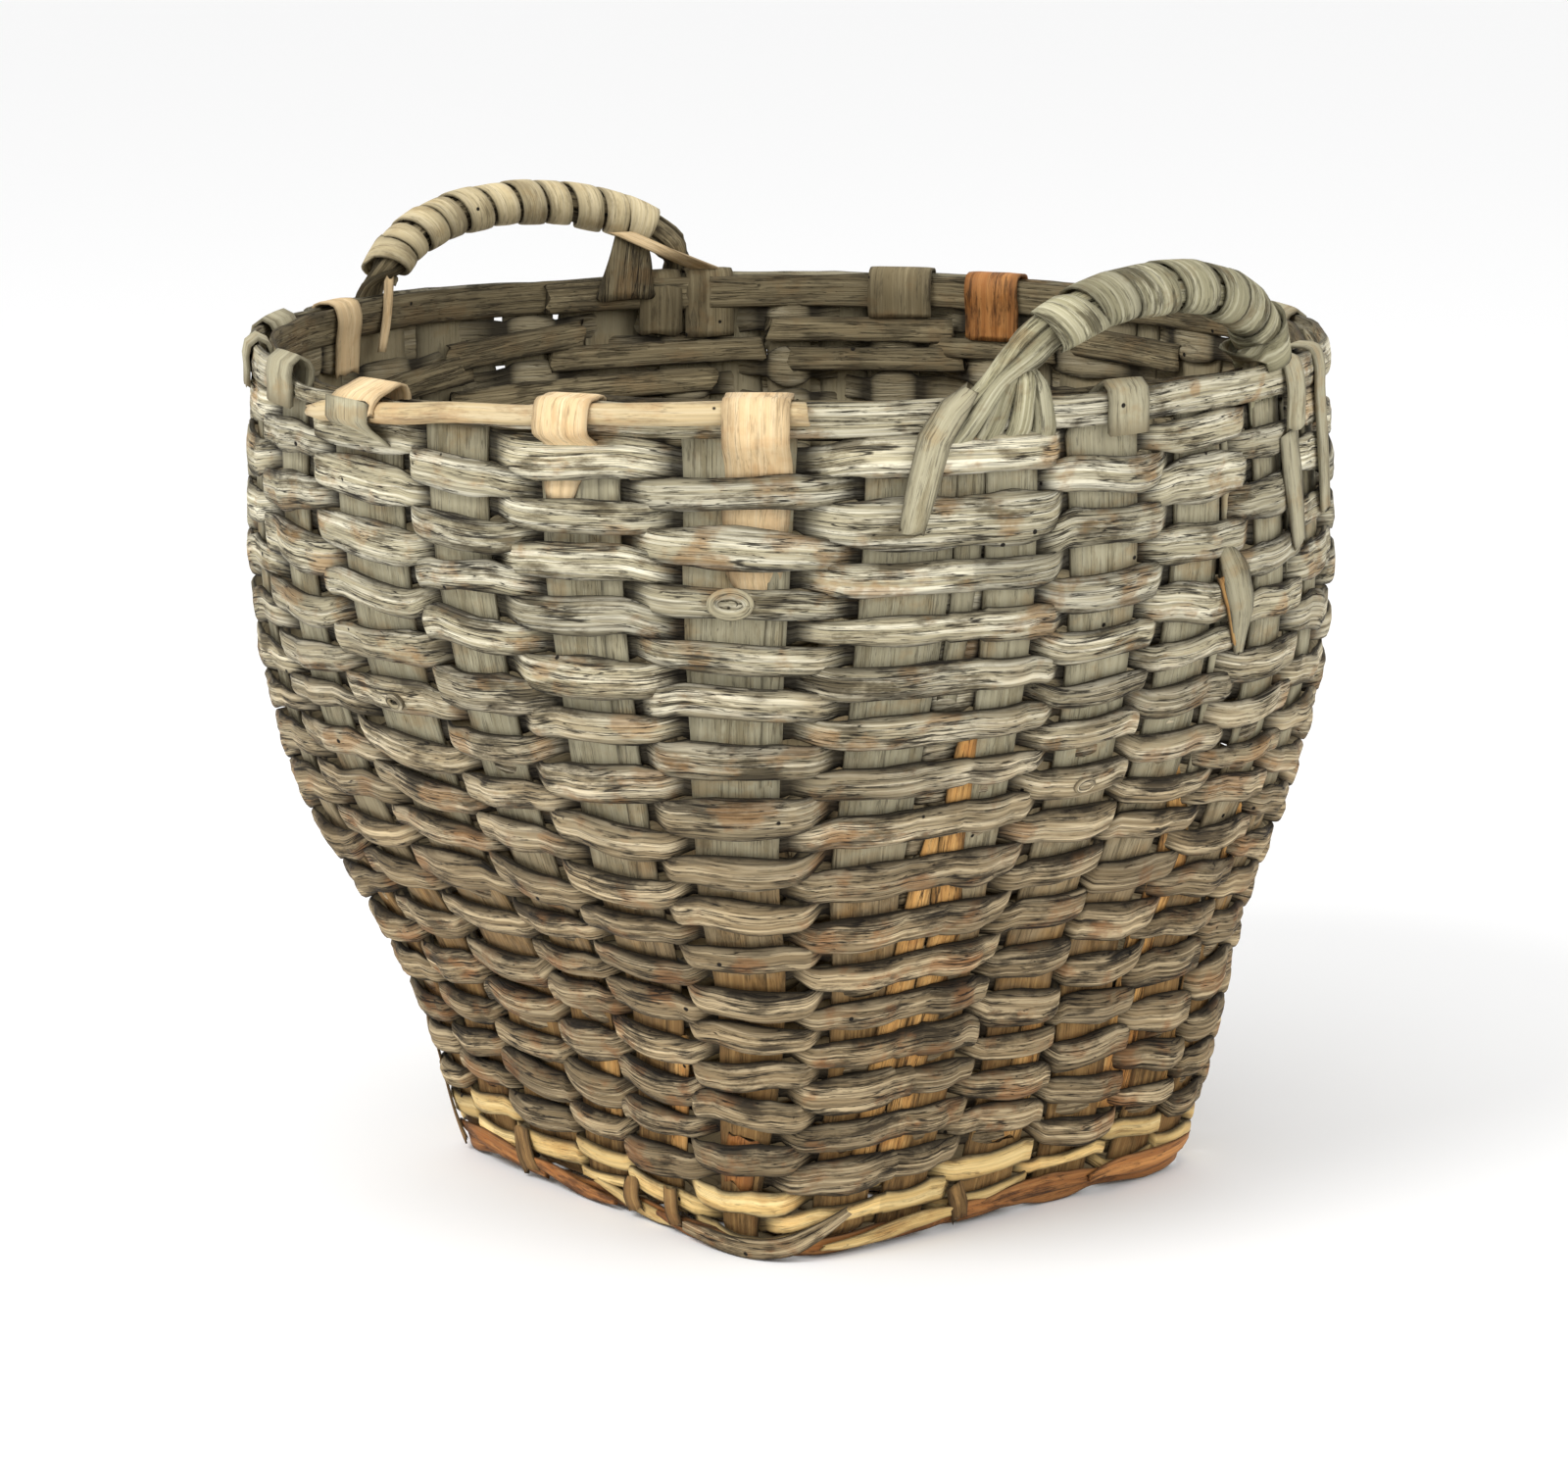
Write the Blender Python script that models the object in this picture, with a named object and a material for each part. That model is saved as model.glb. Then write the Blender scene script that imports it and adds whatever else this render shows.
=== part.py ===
"""Two-handled splint basket: a square woven foot that opens into a round, bellied mouth.

Units are metres and +Z is up. The origin is the middle of the underside of the foot, the foot's sides run
along X and Y, and the two handles stand over +X and -X.

Twelve flat splints are plaited into the foot, six each way, and every one turns up at both ends as a stake
of the wall. Each row of weaving is a hoop of its own that passes in front of one stake and behind the next,
and the next row up does the opposite. Two flat hoops hold the tops of the stakes between them.
"""

import math

import bmesh
import bpy
from mathutils import Vector

# Driving dimensions.
RIM_HEIGHT = 0.4015
FOOT_RADIUS = 0.166  # from the middle to a corner, at the mid-surface of the wall
BELLY_RADIUS = 0.2505
BELLY_HEIGHT = 0.305
MOUTH_RADIUS = 0.245
SQUARENESS = 7.0  # added to the round exponent 2 at the foot
SQUARE_HEIGHT = 0.40  # from here up the wall is round in plan
WAIST_HEIGHT = 0.16  # the stakes have done most of their sideways turn here
FLAT_FOOT_HEIGHT = 0.04  # a stake faces squarely out of its side of the foot and follows the wall from here
LEAN = Vector((-0.0098, -0.0120, 0.0))  # how far the mouth sits off the middle of the foot
LEAN_FROM, LEAN_TO = 0.04, 0.19

SPLINT_THICKNESS = 0.003
WEAVER_THICKNESS = 0.003
GAP = 0.0007  # left between pieces that touch
BEND_ROOM = 0.0008  # a splint bends this far past the edge of one that it crosses in the foot
TURN_IN_SHARE = 0.55  # a splint lies flat this far from its last crossing to the wall
TURN_RISE, TURN_SET = 0.0035, 0.0012  # the bend from foot to wall: its height, and how far inside the wall
TWIST_ROOM = 0.045  # more room where a wide splint twists, as a share of its half-width for each radian
EDGE_MARGIN = 0.0018  # a weaver stays straight this far past the edge of a stake

HOOP_THICKNESS = 0.0035
HOOP_BOTTOM = 0.3865
CUT_STAKE_TOP = HOOP_BOTTOM - 0.0010
HANDLE_LEG_BOTTOM = HOOP_BOTTOM - 0.0004
FOLD_BOTTOM = HOOP_BOTTOM - 0.0012
HELD_STAKE_TOP = 0.3995

TOP_ROW_HEIGHT = 0.3777
ROW_COUNT = 31
TOP_PITCH, BOTTOM_PITCH = 0.0124, 0.0101
ROW_FILL = 0.90  # share of the pitch that a weaver's width takes
FOOT_ROW_HEIGHTS = (0.0300, 0.0205)
FOOT_ROW_WIDTH = 0.0088
FOOT_BAND_HEIGHT = 0.0105
FOOT_BAND_WIDTH, FOOT_BAND_THICKNESS = 0.0065, 0.0022

REPAIR_ROD_RADIUS = 0.0045
STRAP_THICKNESS = 0.002
HANDLE_TOP = 0.4425
HANDLE_FOOT = RIM_HEIGHT + 0.001
HANDLE_RADIUS = 0.0100
HANDLE_LEG_WIDTH = 0.024
HANDLE_LEG_SHARE = 0.13  # share of the arch over which a flat leg turns into the round grip
WRAP_THICKNESS = 0.0014
WRAP_FILL = 0.84  # share of the spiral's pitch that the strip covers
SECTION_SIDES = 8  # of the rod, the cores and one turn of a wrap
CORE_STEPS = 18
SLOPE_STEP = 0.002  # rise over which the slope of a stake is taken

# Ends of splints, named by splint and side, that fold out over the rim or stop under it for a handle's leg.
FOLDED_ENDS = {"y_a-", "y_b-", "x_c+", "y_e+", "x_a-"}
CUT_ENDS = {"x_b+", "x_e+", "x_c-", "x_e-"}

# Wall outline, as (height, radius to a corner): the belly swells over a straighter foot.
OUTLINE = (
    (0.0, FOOT_RADIUS),
    (0.06, 0.183),
    (0.12, 0.2015),
    (0.18, 0.2285),
    (0.24, 0.2445),
    (BELLY_HEIGHT, BELLY_RADIUS),
    (RIM_HEIGHT, MOUTH_RADIUS),
)

# The splints that run along Y, from -X to +X: place across the foot, width at the foot, width at the rim,
# then for the -Y end and the +Y end the angles in degrees at the waist and at the rim.
SPLINTS_ALONG_Y = (
    ("a", -0.108, 0.022, 0.026, (-124.0, -119.0), (128.8, 128.0)),
    ("b", -0.080, 0.026, 0.030, (-109.5, -103.0), (117.3, 115.0)),
    ("c", -0.036, 0.040, 0.050, (-91.5, -87.0), (102.5, 101.0)),
    ("d", 0.003, 0.032, 0.034, (-73.0, -74.3), (85.7, 84.5)),
    ("e", 0.042, 0.032, 0.038, (-57.5, -60.0), (68.4, 67.0)),
    ("f", 0.097, 0.022, 0.052, (-44.3, -43.8), (50.7, 50.0)),
)
# The same for the splints along X, from -Y to +Y, with the +X end first. The first two are woven as a pair.
SPLINTS_ALONG_X = (
    ("a", -0.094, 0.030, 0.042, (-30.2, -26.5), (220.4, 222.0)),
    ("b", -0.059, 0.026, 0.025, (-15.6, -16.2), (206.8, 207.5)),
    ("c", -0.010, 0.034, 0.039, (0.0, -5.8), (193.0, 197.0)),
    ("d", 0.036, 0.034, 0.030, (12.8, 7.5), (171.1, 174.0)),
    ("e", 0.078, 0.024, 0.027, (28.5, 20.5), (152.0, 154.0)),
    ("f", 0.105, 0.019, 0.024, (38.5, 34.0), (140.7, 141.0)),
)

# A splint is straight between these heights up the wall.
WALL_HEIGHTS = [0.013, 0.04, 0.07, 0.10, 0.13, 0.155, 0.178, 0.20, 0.225, 0.26, 0.31, 0.36]

GREY = (0.42, 0.40, 0.34)
BROWN = (0.20, 0.155, 0.11)
STRAW = (0.72, 0.56, 0.33)
TAN = (0.66, 0.46, 0.25)
ORANGE = (0.44, 0.20, 0.07)
DARK = (0.13, 0.11, 0.085)


def outline_radius(height):
    """Radius of the wall's mid-surface at a corner, on a smooth curve through OUTLINE."""
    height = min(max(height, 0.0), RIM_HEIGHT)
    index = 0
    while index < len(OUTLINE) - 2 and height > OUTLINE[index + 1][0]:
        index += 1
    (z0, r0), (z1, r1) = OUTLINE[index], OUTLINE[index + 1]
    before = OUTLINE[max(index - 1, 0)]
    after = OUTLINE[min(index + 2, len(OUTLINE) - 1)]
    slope0 = (r1 - before[1]) / (z1 - before[0])
    slope1 = (after[1] - r0) / (after[0] - z0)
    span = z1 - z0
    t = (height - z0) / span
    return (
        (2 * t**3 - 3 * t**2 + 1) * r0
        + (t**3 - 2 * t**2 + t) * span * slope0
        + (3 * t**2 - 2 * t**3) * r1
        + (t**3 - t**2) * span * slope1
    )


def wall_exponent(height):
    """Exponent of the wall's superellipse, which goes from square to round as the wall rises."""
    return 2.0 + SQUARENESS * max(0.0, 1.0 - height / SQUARE_HEIGHT) ** 2


def wall_point(angle, height):
    """Mid-surface of the wall."""
    exponent = wall_exponent(height)
    half_side = outline_radius(height) / 2 ** (0.5 - 1.0 / exponent)
    cosine, sine = math.cos(angle), math.sin(angle)
    radius = half_side / (abs(cosine) ** exponent + abs(sine) ** exponent) ** (1.0 / exponent)
    leaning = LEAN * ease((height - LEAN_FROM) / (LEAN_TO - LEAN_FROM))
    return Vector((radius * cosine, radius * sine, height)) + leaning


def wall_facing(angle, height):
    """Direction in plan that the wall faces at a point."""
    power = wall_exponent(height) - 1.0
    cosine, sine = math.cos(angle), math.sin(angle)
    return math.atan2(math.copysign(abs(sine) ** power, sine), math.copysign(abs(cosine) ** power, cosine))


def ease(share):
    """0 to 1 with a level start and end."""
    t = min(max(share, 0.0), 1.0)
    return t * t * (3.0 - 2.0 * t)


def nearest_turn(angle):
    return (angle + math.pi) % (2 * math.pi) - math.pi


class Stake:
    """One end of a splint, where it stands in the wall."""

    def __init__(self, name, foot, foot_width, rim_width, degrees):
        self.name = name
        waist, rim = (math.radians(value) for value in degrees)
        self.foot_angle = math.atan2(foot[1], foot[0])
        self.waist_turn = nearest_turn(waist - self.foot_angle)
        self.rim_turn = nearest_turn(rim - waist)
        side_length = max(abs(foot[0]), abs(foot[1]))
        facing = [math.copysign(1.0, c) if abs(c) == side_length else 0.0 for c in foot]
        self.foot_facing = math.atan2(facing[1], facing[0])
        self.facing_turn = nearest_turn(rim - self.foot_facing)
        self.foot_width = foot_width
        self.rim_width = rim_width

    def angle(self, height):
        below = ease(height / WAIST_HEIGHT)
        above = ease((height - WAIST_HEIGHT) / (RIM_HEIGHT - WAIST_HEIGHT))
        return self.foot_angle + self.waist_turn * below + self.rim_turn * above

    def width(self, height):
        return self.foot_width + (self.rim_width - self.foot_width) * height / RIM_HEIGHT

    def centre(self, height):
        return wall_point(self.angle(height), height)

    def frame(self, height):
        """Unit vectors along the wall, up the stake and out of the wall."""
        turn = nearest_turn(wall_facing(self.angle(height), height) - self.foot_facing)
        facing = self.foot_facing + turn * min(max(height, 0.0) / FLAT_FOOT_HEIGHT, 1.0)
        along = Vector((-math.sin(facing), math.cos(facing), 0.0))
        up = self.centre(height + SLOPE_STEP) - self.centre(height - SLOPE_STEP)
        if height + SLOPE_STEP > RIM_HEIGHT:
            up = Vector((0.0, 0.0, 1.0))
        up = (up - along * up.dot(along)).normalized()
        return along, up, along.cross(up).normalized()

    def seat(self, height):
        """Middle, half-width, clearance and frame of the splint as built, straight between WALL_HEIGHTS."""
        upper = min([h for h in WALL_HEIGHTS[1:] if h > height], default=RIM_HEIGHT)
        lower = max([h for h in WALL_HEIGHTS if h <= height], default=WALL_HEIGHTS[0])
        share = (height - lower) / (upper - lower)
        centre = self.centre(lower).lerp(self.centre(upper), share)
        along = self.frame(lower)[0].lerp(self.frame(upper)[0], share)
        half_width = (self.width(lower) * (1 - share) + self.width(upper) * share) / 2
        up = self.frame(height)[1]
        clearance = GAP + TWIST_ROOM * half_width * abs(self.facing_turn)
        return centre, half_width, clearance, along, up, along.cross(up).normalized()


def make_stakes():
    """The stakes in order round the basket, each with +1 or -1 for its place in the weave."""
    half_side = FOOT_RADIUS / 2**0.4
    south = [Stake("y_" + n, (x, -half_side), w, r, d) for n, x, w, r, d, _ in SPLINTS_ALONG_Y]
    east = [Stake("x_" + n, (half_side, y), w, r, d) for n, y, w, r, d, _ in SPLINTS_ALONG_X]
    north = [Stake("y_" + n, (x, half_side), w, r, d) for n, x, w, r, _, d in SPLINTS_ALONG_Y]
    west = [Stake("x_" + n, (-half_side, y), w, r, d) for n, y, w, r, _, d in SPLINTS_ALONG_X]
    ring = south + east + north[::-1] + west[::-1]
    sides = []
    side = 1
    for index, stake in enumerate(ring):
        paired = index > 0 and {stake.name, ring[index - 1].name} == {"x_a", "x_b"}
        if index > 0 and not paired:
            side = -side
        sides.append(side)
    return ring, sides, (south, east, north, west)


def make_material(name, colour, roughness):
    material = bpy.data.materials.new(name)
    material.use_nodes = True
    material.diffuse_color = (*colour, 1.0)
    shader = material.node_tree.nodes["Principled BSDF"]
    shader.inputs["Base Color"].default_value = (*colour, 1.0)
    shader.inputs["Roughness"].default_value = roughness
    shader.inputs["Metallic"].default_value = 0.0
    return material


def add_object(name, points, faces, colour, roughness=0.85):
    mesh = bpy.data.meshes.new(name)
    mesh.from_pydata(points, [], faces)
    shape = bmesh.new()
    shape.from_mesh(mesh)
    bmesh.ops.recalc_face_normals(shape, faces=shape.faces)
    shape.to_mesh(mesh)
    shape.free()
    mesh.shade_smooth()
    mesh.set_sharp_from_angle(angle=math.radians(35))
    mesh.materials.append(make_material(name, colour, roughness))
    made = bpy.data.objects.new(name, mesh)
    bpy.context.scene.collection.objects.link(made)
    return made


def sweep(name, sections, closed, colour):
    """Joins equal polygons into one solid, end to end or capped."""
    sides = len(sections[0])
    count = len(sections)
    points = [point for section in sections for point in section]
    faces = []
    for i in range(count if closed else count - 1):
        here, there = i * sides, ((i + 1) % count) * sides
        for k in range(sides):
            m = (k + 1) % sides
            faces.append((here + k, here + m, there + m, there + k))
    if not closed:
        faces.append(tuple(range(sides - 1, -1, -1)))
        faces.append(tuple(range((count - 1) * sides, count * sides)))
    return add_object(name, points, faces, colour)


def flat_section(centre, across, through):
    """Rectangle with half-extents across (the width) and through (the thickness)."""
    return [
        centre - across - through,
        centre + across - through,
        centre + across + through,
        centre - across + through,
    ]


def mitred_strip(points, across, thickness):
    """Sections of a flat strip along a bent path, mitred where it bends. across holds half-width vectors."""
    sections = []
    last = len(points) - 1
    for i, point in enumerate(points):
        before = (point - points[i - 1]).normalized() if i > 0 else None
        after = (points[i + 1] - point).normalized() if i < last else None
        tangent = ((before or after) + (after or before)).normalized()
        through = across[i].cross(tangent).normalized()
        bend = tangent.dot(before or after)
        half = through * (thickness / 2 / max(bend, 0.5))
        sections.append(flat_section(point, -across[i], half))
    return sections


def splint_wall_path(stake, top, folded):
    """Points and half-width vectors up the wall, ending at the top or folded out over the outer hoop."""
    points, across = [], []
    for height in WALL_HEIGHTS + [top]:
        along, _, _ = stake.frame(height)
        points.append(stake.centre(height))
        across.append(along * (stake.width(height) / 2))
    if folded:
        _, _, clearance, along, up, outward = stake.seat(RIM_HEIGHT)
        crest = RIM_HEIGHT + GAP + SPLINT_THICKNESS / 2
        over = SPLINT_THICKNESS + HOOP_THICKNESS + clearance + GAP
        points.pop()
        across.pop()
        for out, height in ((0.0, crest), (over, crest), (over, FOLD_BOTTOM)):
            points.append(stake.centre(min(height, RIM_HEIGHT)) + outward * out)
            points[-1].z = height
            across.append(along * (stake.width(RIM_HEIGHT) / 2))
    return points, across


def base_path(place, along_y, crossing, parity):
    """Zigzag of a splint across the foot, over and under the splints that cross it."""
    low = SPLINT_THICKNESS / 2
    high = low + SPLINT_THICKNESS + GAP
    points = []
    for index, row in enumerate(crossing):
        over = (index + parity) % 2 == 0
        height = high if over else low
        for end in (-1, 1):
            run = row[1] + end * (row[2] / 2 + BEND_ROOM)
            points.append(Vector((place, run, height)) if along_y else Vector((run, place, height)))
    return points


def build_splint(name, place, width, ends, tops, folds, along_y, crossing, parity, colour):
    """A splint from the top of one wall, down, across the foot and up to the top of the other."""
    direction = Vector((1.0, 0.0, 0.0)) if along_y else Vector((0.0, 1.0, 0.0))
    floor = base_path(place, along_y, crossing, parity)
    floor_across = [direction * (width / 2)] * len(floor)
    halves = []
    for stake, top, folded, end_point in zip(ends, tops, folds, (floor[0], floor[-1])):
        points, across = splint_wall_path(stake, top, folded)
        across = [a if a.dot(direction) > 0 else -a for a in across]
        corner = stake.centre(0.0)
        run = Vector((corner.x, corner.y, 0.0)) - Vector((end_point.x, end_point.y, 0.0))
        turn_in = end_point + run * TURN_IN_SHARE
        turn_up = Vector((corner.x, corner.y, end_point.z + TURN_RISE)) - run.normalized() * TURN_SET
        halves.append(([turn_in, turn_up] + points, [floor_across[0]] * 2 + across))
    points = halves[0][0][::-1] + floor + halves[1][0]
    across = halves[0][1][::-1] + floor_across + halves[1][1]
    sections = mitred_strip(points, across, SPLINT_THICKNESS)
    return sweep(name, sections, False, colour)


def ring_sections(ring, sides, height, width, thickness):
    """Sections of a strip round the wall, outside a stake where its side is 1 and inside where it is -1."""
    sections = []
    for stake, side in zip(ring, sides):
        centre, half_width, clearance, along, up, outward = stake.seat(height)
        reach = half_width + EDGE_MARGIN
        offset = outward * (side * (SPLINT_THICKNESS / 2 + clearance + thickness / 2))
        for end in (-1, 1):
            middle = centre + along * (end * reach) + offset
            sections.append(flat_section(middle, up * (width / 2), -outward * (thickness / 2)))
    return sections


def build_rows(ring, sides):
    """The rows of weaving from the rim down, each on the other side of every stake from the row above."""
    others = [-side for side in sides]
    for index in range(ROW_COUNT):
        share = index / (ROW_COUNT - 1)
        tightened = (TOP_PITCH - BOTTOM_PITCH) * share
        height = TOP_ROW_HEIGHT - (TOP_PITCH - tightened / 2) * index
        width = (TOP_PITCH - tightened) * ROW_FILL
        colour = [grey + (brown - grey) * share for grey, brown in zip(GREY, BROWN)]
        sections = ring_sections(ring, others if index % 2 else sides, height, width, WEAVER_THICKNESS)
        sweep(f"weaver_row_{index + 1:02d}", sections, True, colour)
    for index, height in enumerate(FOOT_ROW_HEIGHTS):
        odd = (ROW_COUNT + index) % 2
        sections = ring_sections(ring, others if odd else sides, height, FOOT_ROW_WIDTH, WEAVER_THICKNESS)
        sweep(f"foot_weaver_{index + 1}", sections, True, STRAW)
    outside = [1] * len(ring)
    sections = ring_sections(ring, outside, FOOT_BAND_HEIGHT, FOOT_BAND_WIDTH, FOOT_BAND_THICKNESS)
    sweep("foot_band", sections, True, ORANGE)


def build_hoops(ring):
    middle = (HOOP_BOTTOM + RIM_HEIGHT) / 2
    width = RIM_HEIGHT - HOOP_BOTTOM
    for name, side, colour in (("rim_hoop_outer", 1, GREY), ("rim_hoop_inner", -1, DARK)):
        sections = ring_sections(ring, [side] * len(ring), middle, width, HOOP_THICKNESS)
        sweep(name, sections, True, colour)


def hoop_face(stake):
    """Distance from the middle of a stake to the far face of a rim hoop."""
    return SPLINT_THICKNESS / 2 + stake.seat(RIM_HEIGHT)[2] + HOOP_THICKNESS


def strap(name, stake, shift, width, inner_bottom, outer_bottom, colour, outer_room=0.0):
    """Strip bent over the rim. shift moves it along the rim; outer_room clears a rod on the outer hoop."""
    face = hoop_face(stake) + GAP + STRAP_THICKNESS / 2
    crest = RIM_HEIGHT + GAP + STRAP_THICKNESS / 2
    _, _, _, along, _, outward = stake.seat(RIM_HEIGHT)
    route = [(-face, inner_bottom), (-face, crest), (face + outer_room, crest)]
    bottoms = [h for h in WALL_HEIGHTS[::-1] if outer_bottom < h < HOOP_BOTTOM] + [outer_bottom]
    route += [(face + outer_room, height) for height in bottoms]
    points = []
    for out, height in route:
        point = stake.centre(min(height, RIM_HEIGHT)) + outward * out + along * shift
        point.z = height
        points.append(point)
    sections = mitred_strip(points, [along * (width / 2)] * len(points), STRAP_THICKNESS)
    return sweep(name, sections, False, colour)


def hanging_strip(name, stake, width, bottom, colour):
    """Strip that hangs down the outside of the wall from the rim."""
    face = hoop_face(stake) + GAP + STRAP_THICKNESS / 2
    heights = [RIM_HEIGHT] + [h for h in WALL_HEIGHTS[::-1] if h > bottom] + [bottom]
    points, across = [], []
    for height in heights:
        _, _, _, along, _, outward = stake.seat(height)
        points.append(stake.centre(height) + outward * face)
        across.append(along * (width / 2))
    return sweep(name, mitred_strip(points, across, STRAP_THICKNESS), False, colour)


def round_section(centre, across, through):
    """Eight-sided section with half-extents across and through."""
    turns = [2 * math.pi * k / SECTION_SIDES for k in range(SECTION_SIDES)]
    return [centre + across * math.cos(a) + through * math.sin(a) for a in turns]


def build_repair_rod(stakes):
    """Peeled rod that lies against the outer hoop where the old rim has gone."""
    height = RIM_HEIGHT - REPAIR_ROD_RADIUS - 2 * GAP
    sections = []
    for index, stake in enumerate(stakes):
        centre, half_width, _, along, _, outward = stake.seat(height)
        out = hoop_face(stake) + GAP + REPAIR_ROD_RADIUS
        reach = half_width + EDGE_MARGIN
        for end in (-1, 1):
            middle = centre + along * (end * reach) + outward * out
            up = Vector((0.0, 0.0, REPAIR_ROD_RADIUS))
            sections.append(round_section(middle, up, outward * REPAIR_ROD_RADIUS))
    return sweep("rim_repair_rod", sections, False, TAN)


class HandleArch:
    """Half an ellipse over the rim between two cut stakes; t runs from 0 at one foot to 1 at the other."""

    def __init__(self, first, second):
        self.first, self.second = first, second
        start = first.angle(RIM_HEIGHT)
        self.half_turn = nearest_turn(second.angle(RIM_HEIGHT) - start) / 2
        self.middle = start + self.half_turn

    def centre(self, t):
        angle = self.middle - self.half_turn * math.cos(math.pi * t)
        point = wall_point(angle, RIM_HEIGHT)
        point.z = HANDLE_FOOT + (HANDLE_TOP - HANDLE_FOOT) * math.sin(math.pi * t)
        return point

    def frame(self, t):
        """Unit vectors along the arch, across it in its own plane, and out from the basket."""
        tangent = (self.centre(min(t + 0.01, 1.0)) - self.centre(max(t - 0.01, 0.0))).normalized()
        angle = self.middle - self.half_turn * math.cos(math.pi * t)
        outward = Vector((math.cos(angle), math.sin(angle), 0.0))
        outward = (outward - tangent * outward.dot(tangent)).normalized()
        return tangent, outward.cross(tangent), outward

    def half_extents(self, t):
        """The legs are flat where the hoops grip them and the grip is round."""
        share = ease(min(t, 1.0 - t) / HANDLE_LEG_SHARE)
        across = HANDLE_LEG_WIDTH / 2 + (HANDLE_RADIUS - HANDLE_LEG_WIDTH / 2) * share
        through = SPLINT_THICKNESS / 2 + (HANDLE_RADIUS - SPLINT_THICKNESS / 2) * share
        return across, through

    def leg_sections(self, stake, sign):
        sections = []
        for height in (HANDLE_LEG_BOTTOM, RIM_HEIGHT):
            _, _, _, along, _, outward = stake.seat(height)
            across = along * (sign * HANDLE_LEG_WIDTH / 2)
            sections.append(round_section(stake.centre(height), across, outward * (SPLINT_THICKNESS / 2)))
        return sections

    def build_core(self, name, colour):
        sections = self.leg_sections(self.first, -self.across_sign())
        for i in range(1, CORE_STEPS):
            t = i / CORE_STEPS
            _, across, outward = self.frame(t)
            a, b = self.half_extents(t)
            sections.append(round_section(self.centre(t), across * a, outward * b))
        sections += self.leg_sections(self.second, self.across_sign())[::-1]
        return sweep(name, sections, False, colour)

    def across_sign(self):
        """Which way the wall's own direction points against the arch's at the first foot."""
        return 1.0 if self.half_turn < 0 else -1.0

    def build_wrap(self, name, turns, start, end, colour):
        """Strip wound round the grip: turns of a spiral between two places along the arch."""
        reach = HANDLE_RADIUS + 2 * GAP + WRAP_THICKNESS / 2

        def winding(turn, angle):
            t = start + (end - start) * turn / turns
            _, across, outward = self.frame(t)
            return self.centre(t) + (across * math.cos(angle) + outward * math.sin(angle)) * reach

        sections = []
        for k in range(turns * SECTION_SIDES + 1):
            turn = k / SECTION_SIDES
            angle = 2 * math.pi * turn
            middle = winding(turn, angle)
            along = (winding(turn + 0.5, angle) - winding(turn - 0.5, angle)) * (WRAP_FILL / 2)
            t = start + (end - start) * turn / turns
            _, across, outward = self.frame(t)
            through = (across * math.cos(angle) + outward * math.sin(angle)) * (WRAP_THICKNESS / 2)
            sections.append(flat_section(middle, along, through))
        return sweep(name, sections, False, colour)


def build_splints(ends_by_side):
    south, east, north, west = ends_by_side
    groups = (
        (SPLINTS_ALONG_Y, SPLINTS_ALONG_X, "y_", south, north, True, 0),
        (SPLINTS_ALONG_X, SPLINTS_ALONG_Y, "x_", west, east, False, 1),
    )
    for rows, crossing, prefix, low_ends, high_ends, along_y, parity in groups:
        for index, (letter, place, width, *_) in enumerate(rows):
            keys = [prefix + letter + sign for sign in "-+"]
            tops = [CUT_STAKE_TOP if key in CUT_ENDS else HELD_STAKE_TOP for key in keys]
            folds = [key in FOLDED_ENDS for key in keys]
            ends = (low_ends[index], high_ends[index])
            name = "splint_" + prefix + letter
            build_splint(name, place, width, ends, tops, folds, along_y, crossing, index + parity, GREY)


def main():
    for old in list(bpy.data.objects):
        bpy.data.objects.remove(old)
    ring, sides, ends_by_side = make_stakes()
    build_splints(ends_by_side)
    build_rows(ring, sides)
    build_hoops(ring)

    south, east, north, west = ends_by_side
    build_repair_rod(south[2:6])
    room = 2 * REPAIR_ROD_RADIUS + GAP
    strap("rim_loop_left", south[2], 0.008, 0.034, 0.386, 0.383, TAN, room)
    strap("rim_loop_middle", south[4], -0.002, 0.026, 0.386, 0.383, TAN, room)
    strap("rim_loop_front", south[5], 0.009, 0.030, 0.386, 0.383, TAN, room)
    strap("rim_loop_far", north[1], 0.0, 0.030, 0.370, 0.380, ORANGE)
    strap("rim_loop_handle", west[1], -0.006, 0.024, 0.368, 0.380, TAN)
    strap("rim_strap_side", east[5], 0.0, 0.020, 0.384, 0.328, GREY)
    hanging_strip("handle_tail_strip", east[0], 0.015, 0.335, GREY)

    front = HandleArch(east[1], east[4])
    front.build_core("handle_front_core", GREY)
    front.build_wrap("handle_front_wrap", 7, 0.24, 0.90, GREY)
    back = HandleArch(west[2], west[4])
    back.build_core("handle_back_core", DARK)
    back.build_wrap("handle_back_wrap", 11, 0.14, 0.78, TAN)


main()
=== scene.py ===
"""Looks of the two-handled splint basket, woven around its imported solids.

Every visible piece is a strip: a run of stations, each with a middle, a direction across its width and a
direction out of its face. The strips follow the same design values as the solids that they stand for.
Lengths are in metres, except in the tables that say millimetres. Angles go round the basket from +X.
"""
import math
import zlib

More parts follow.
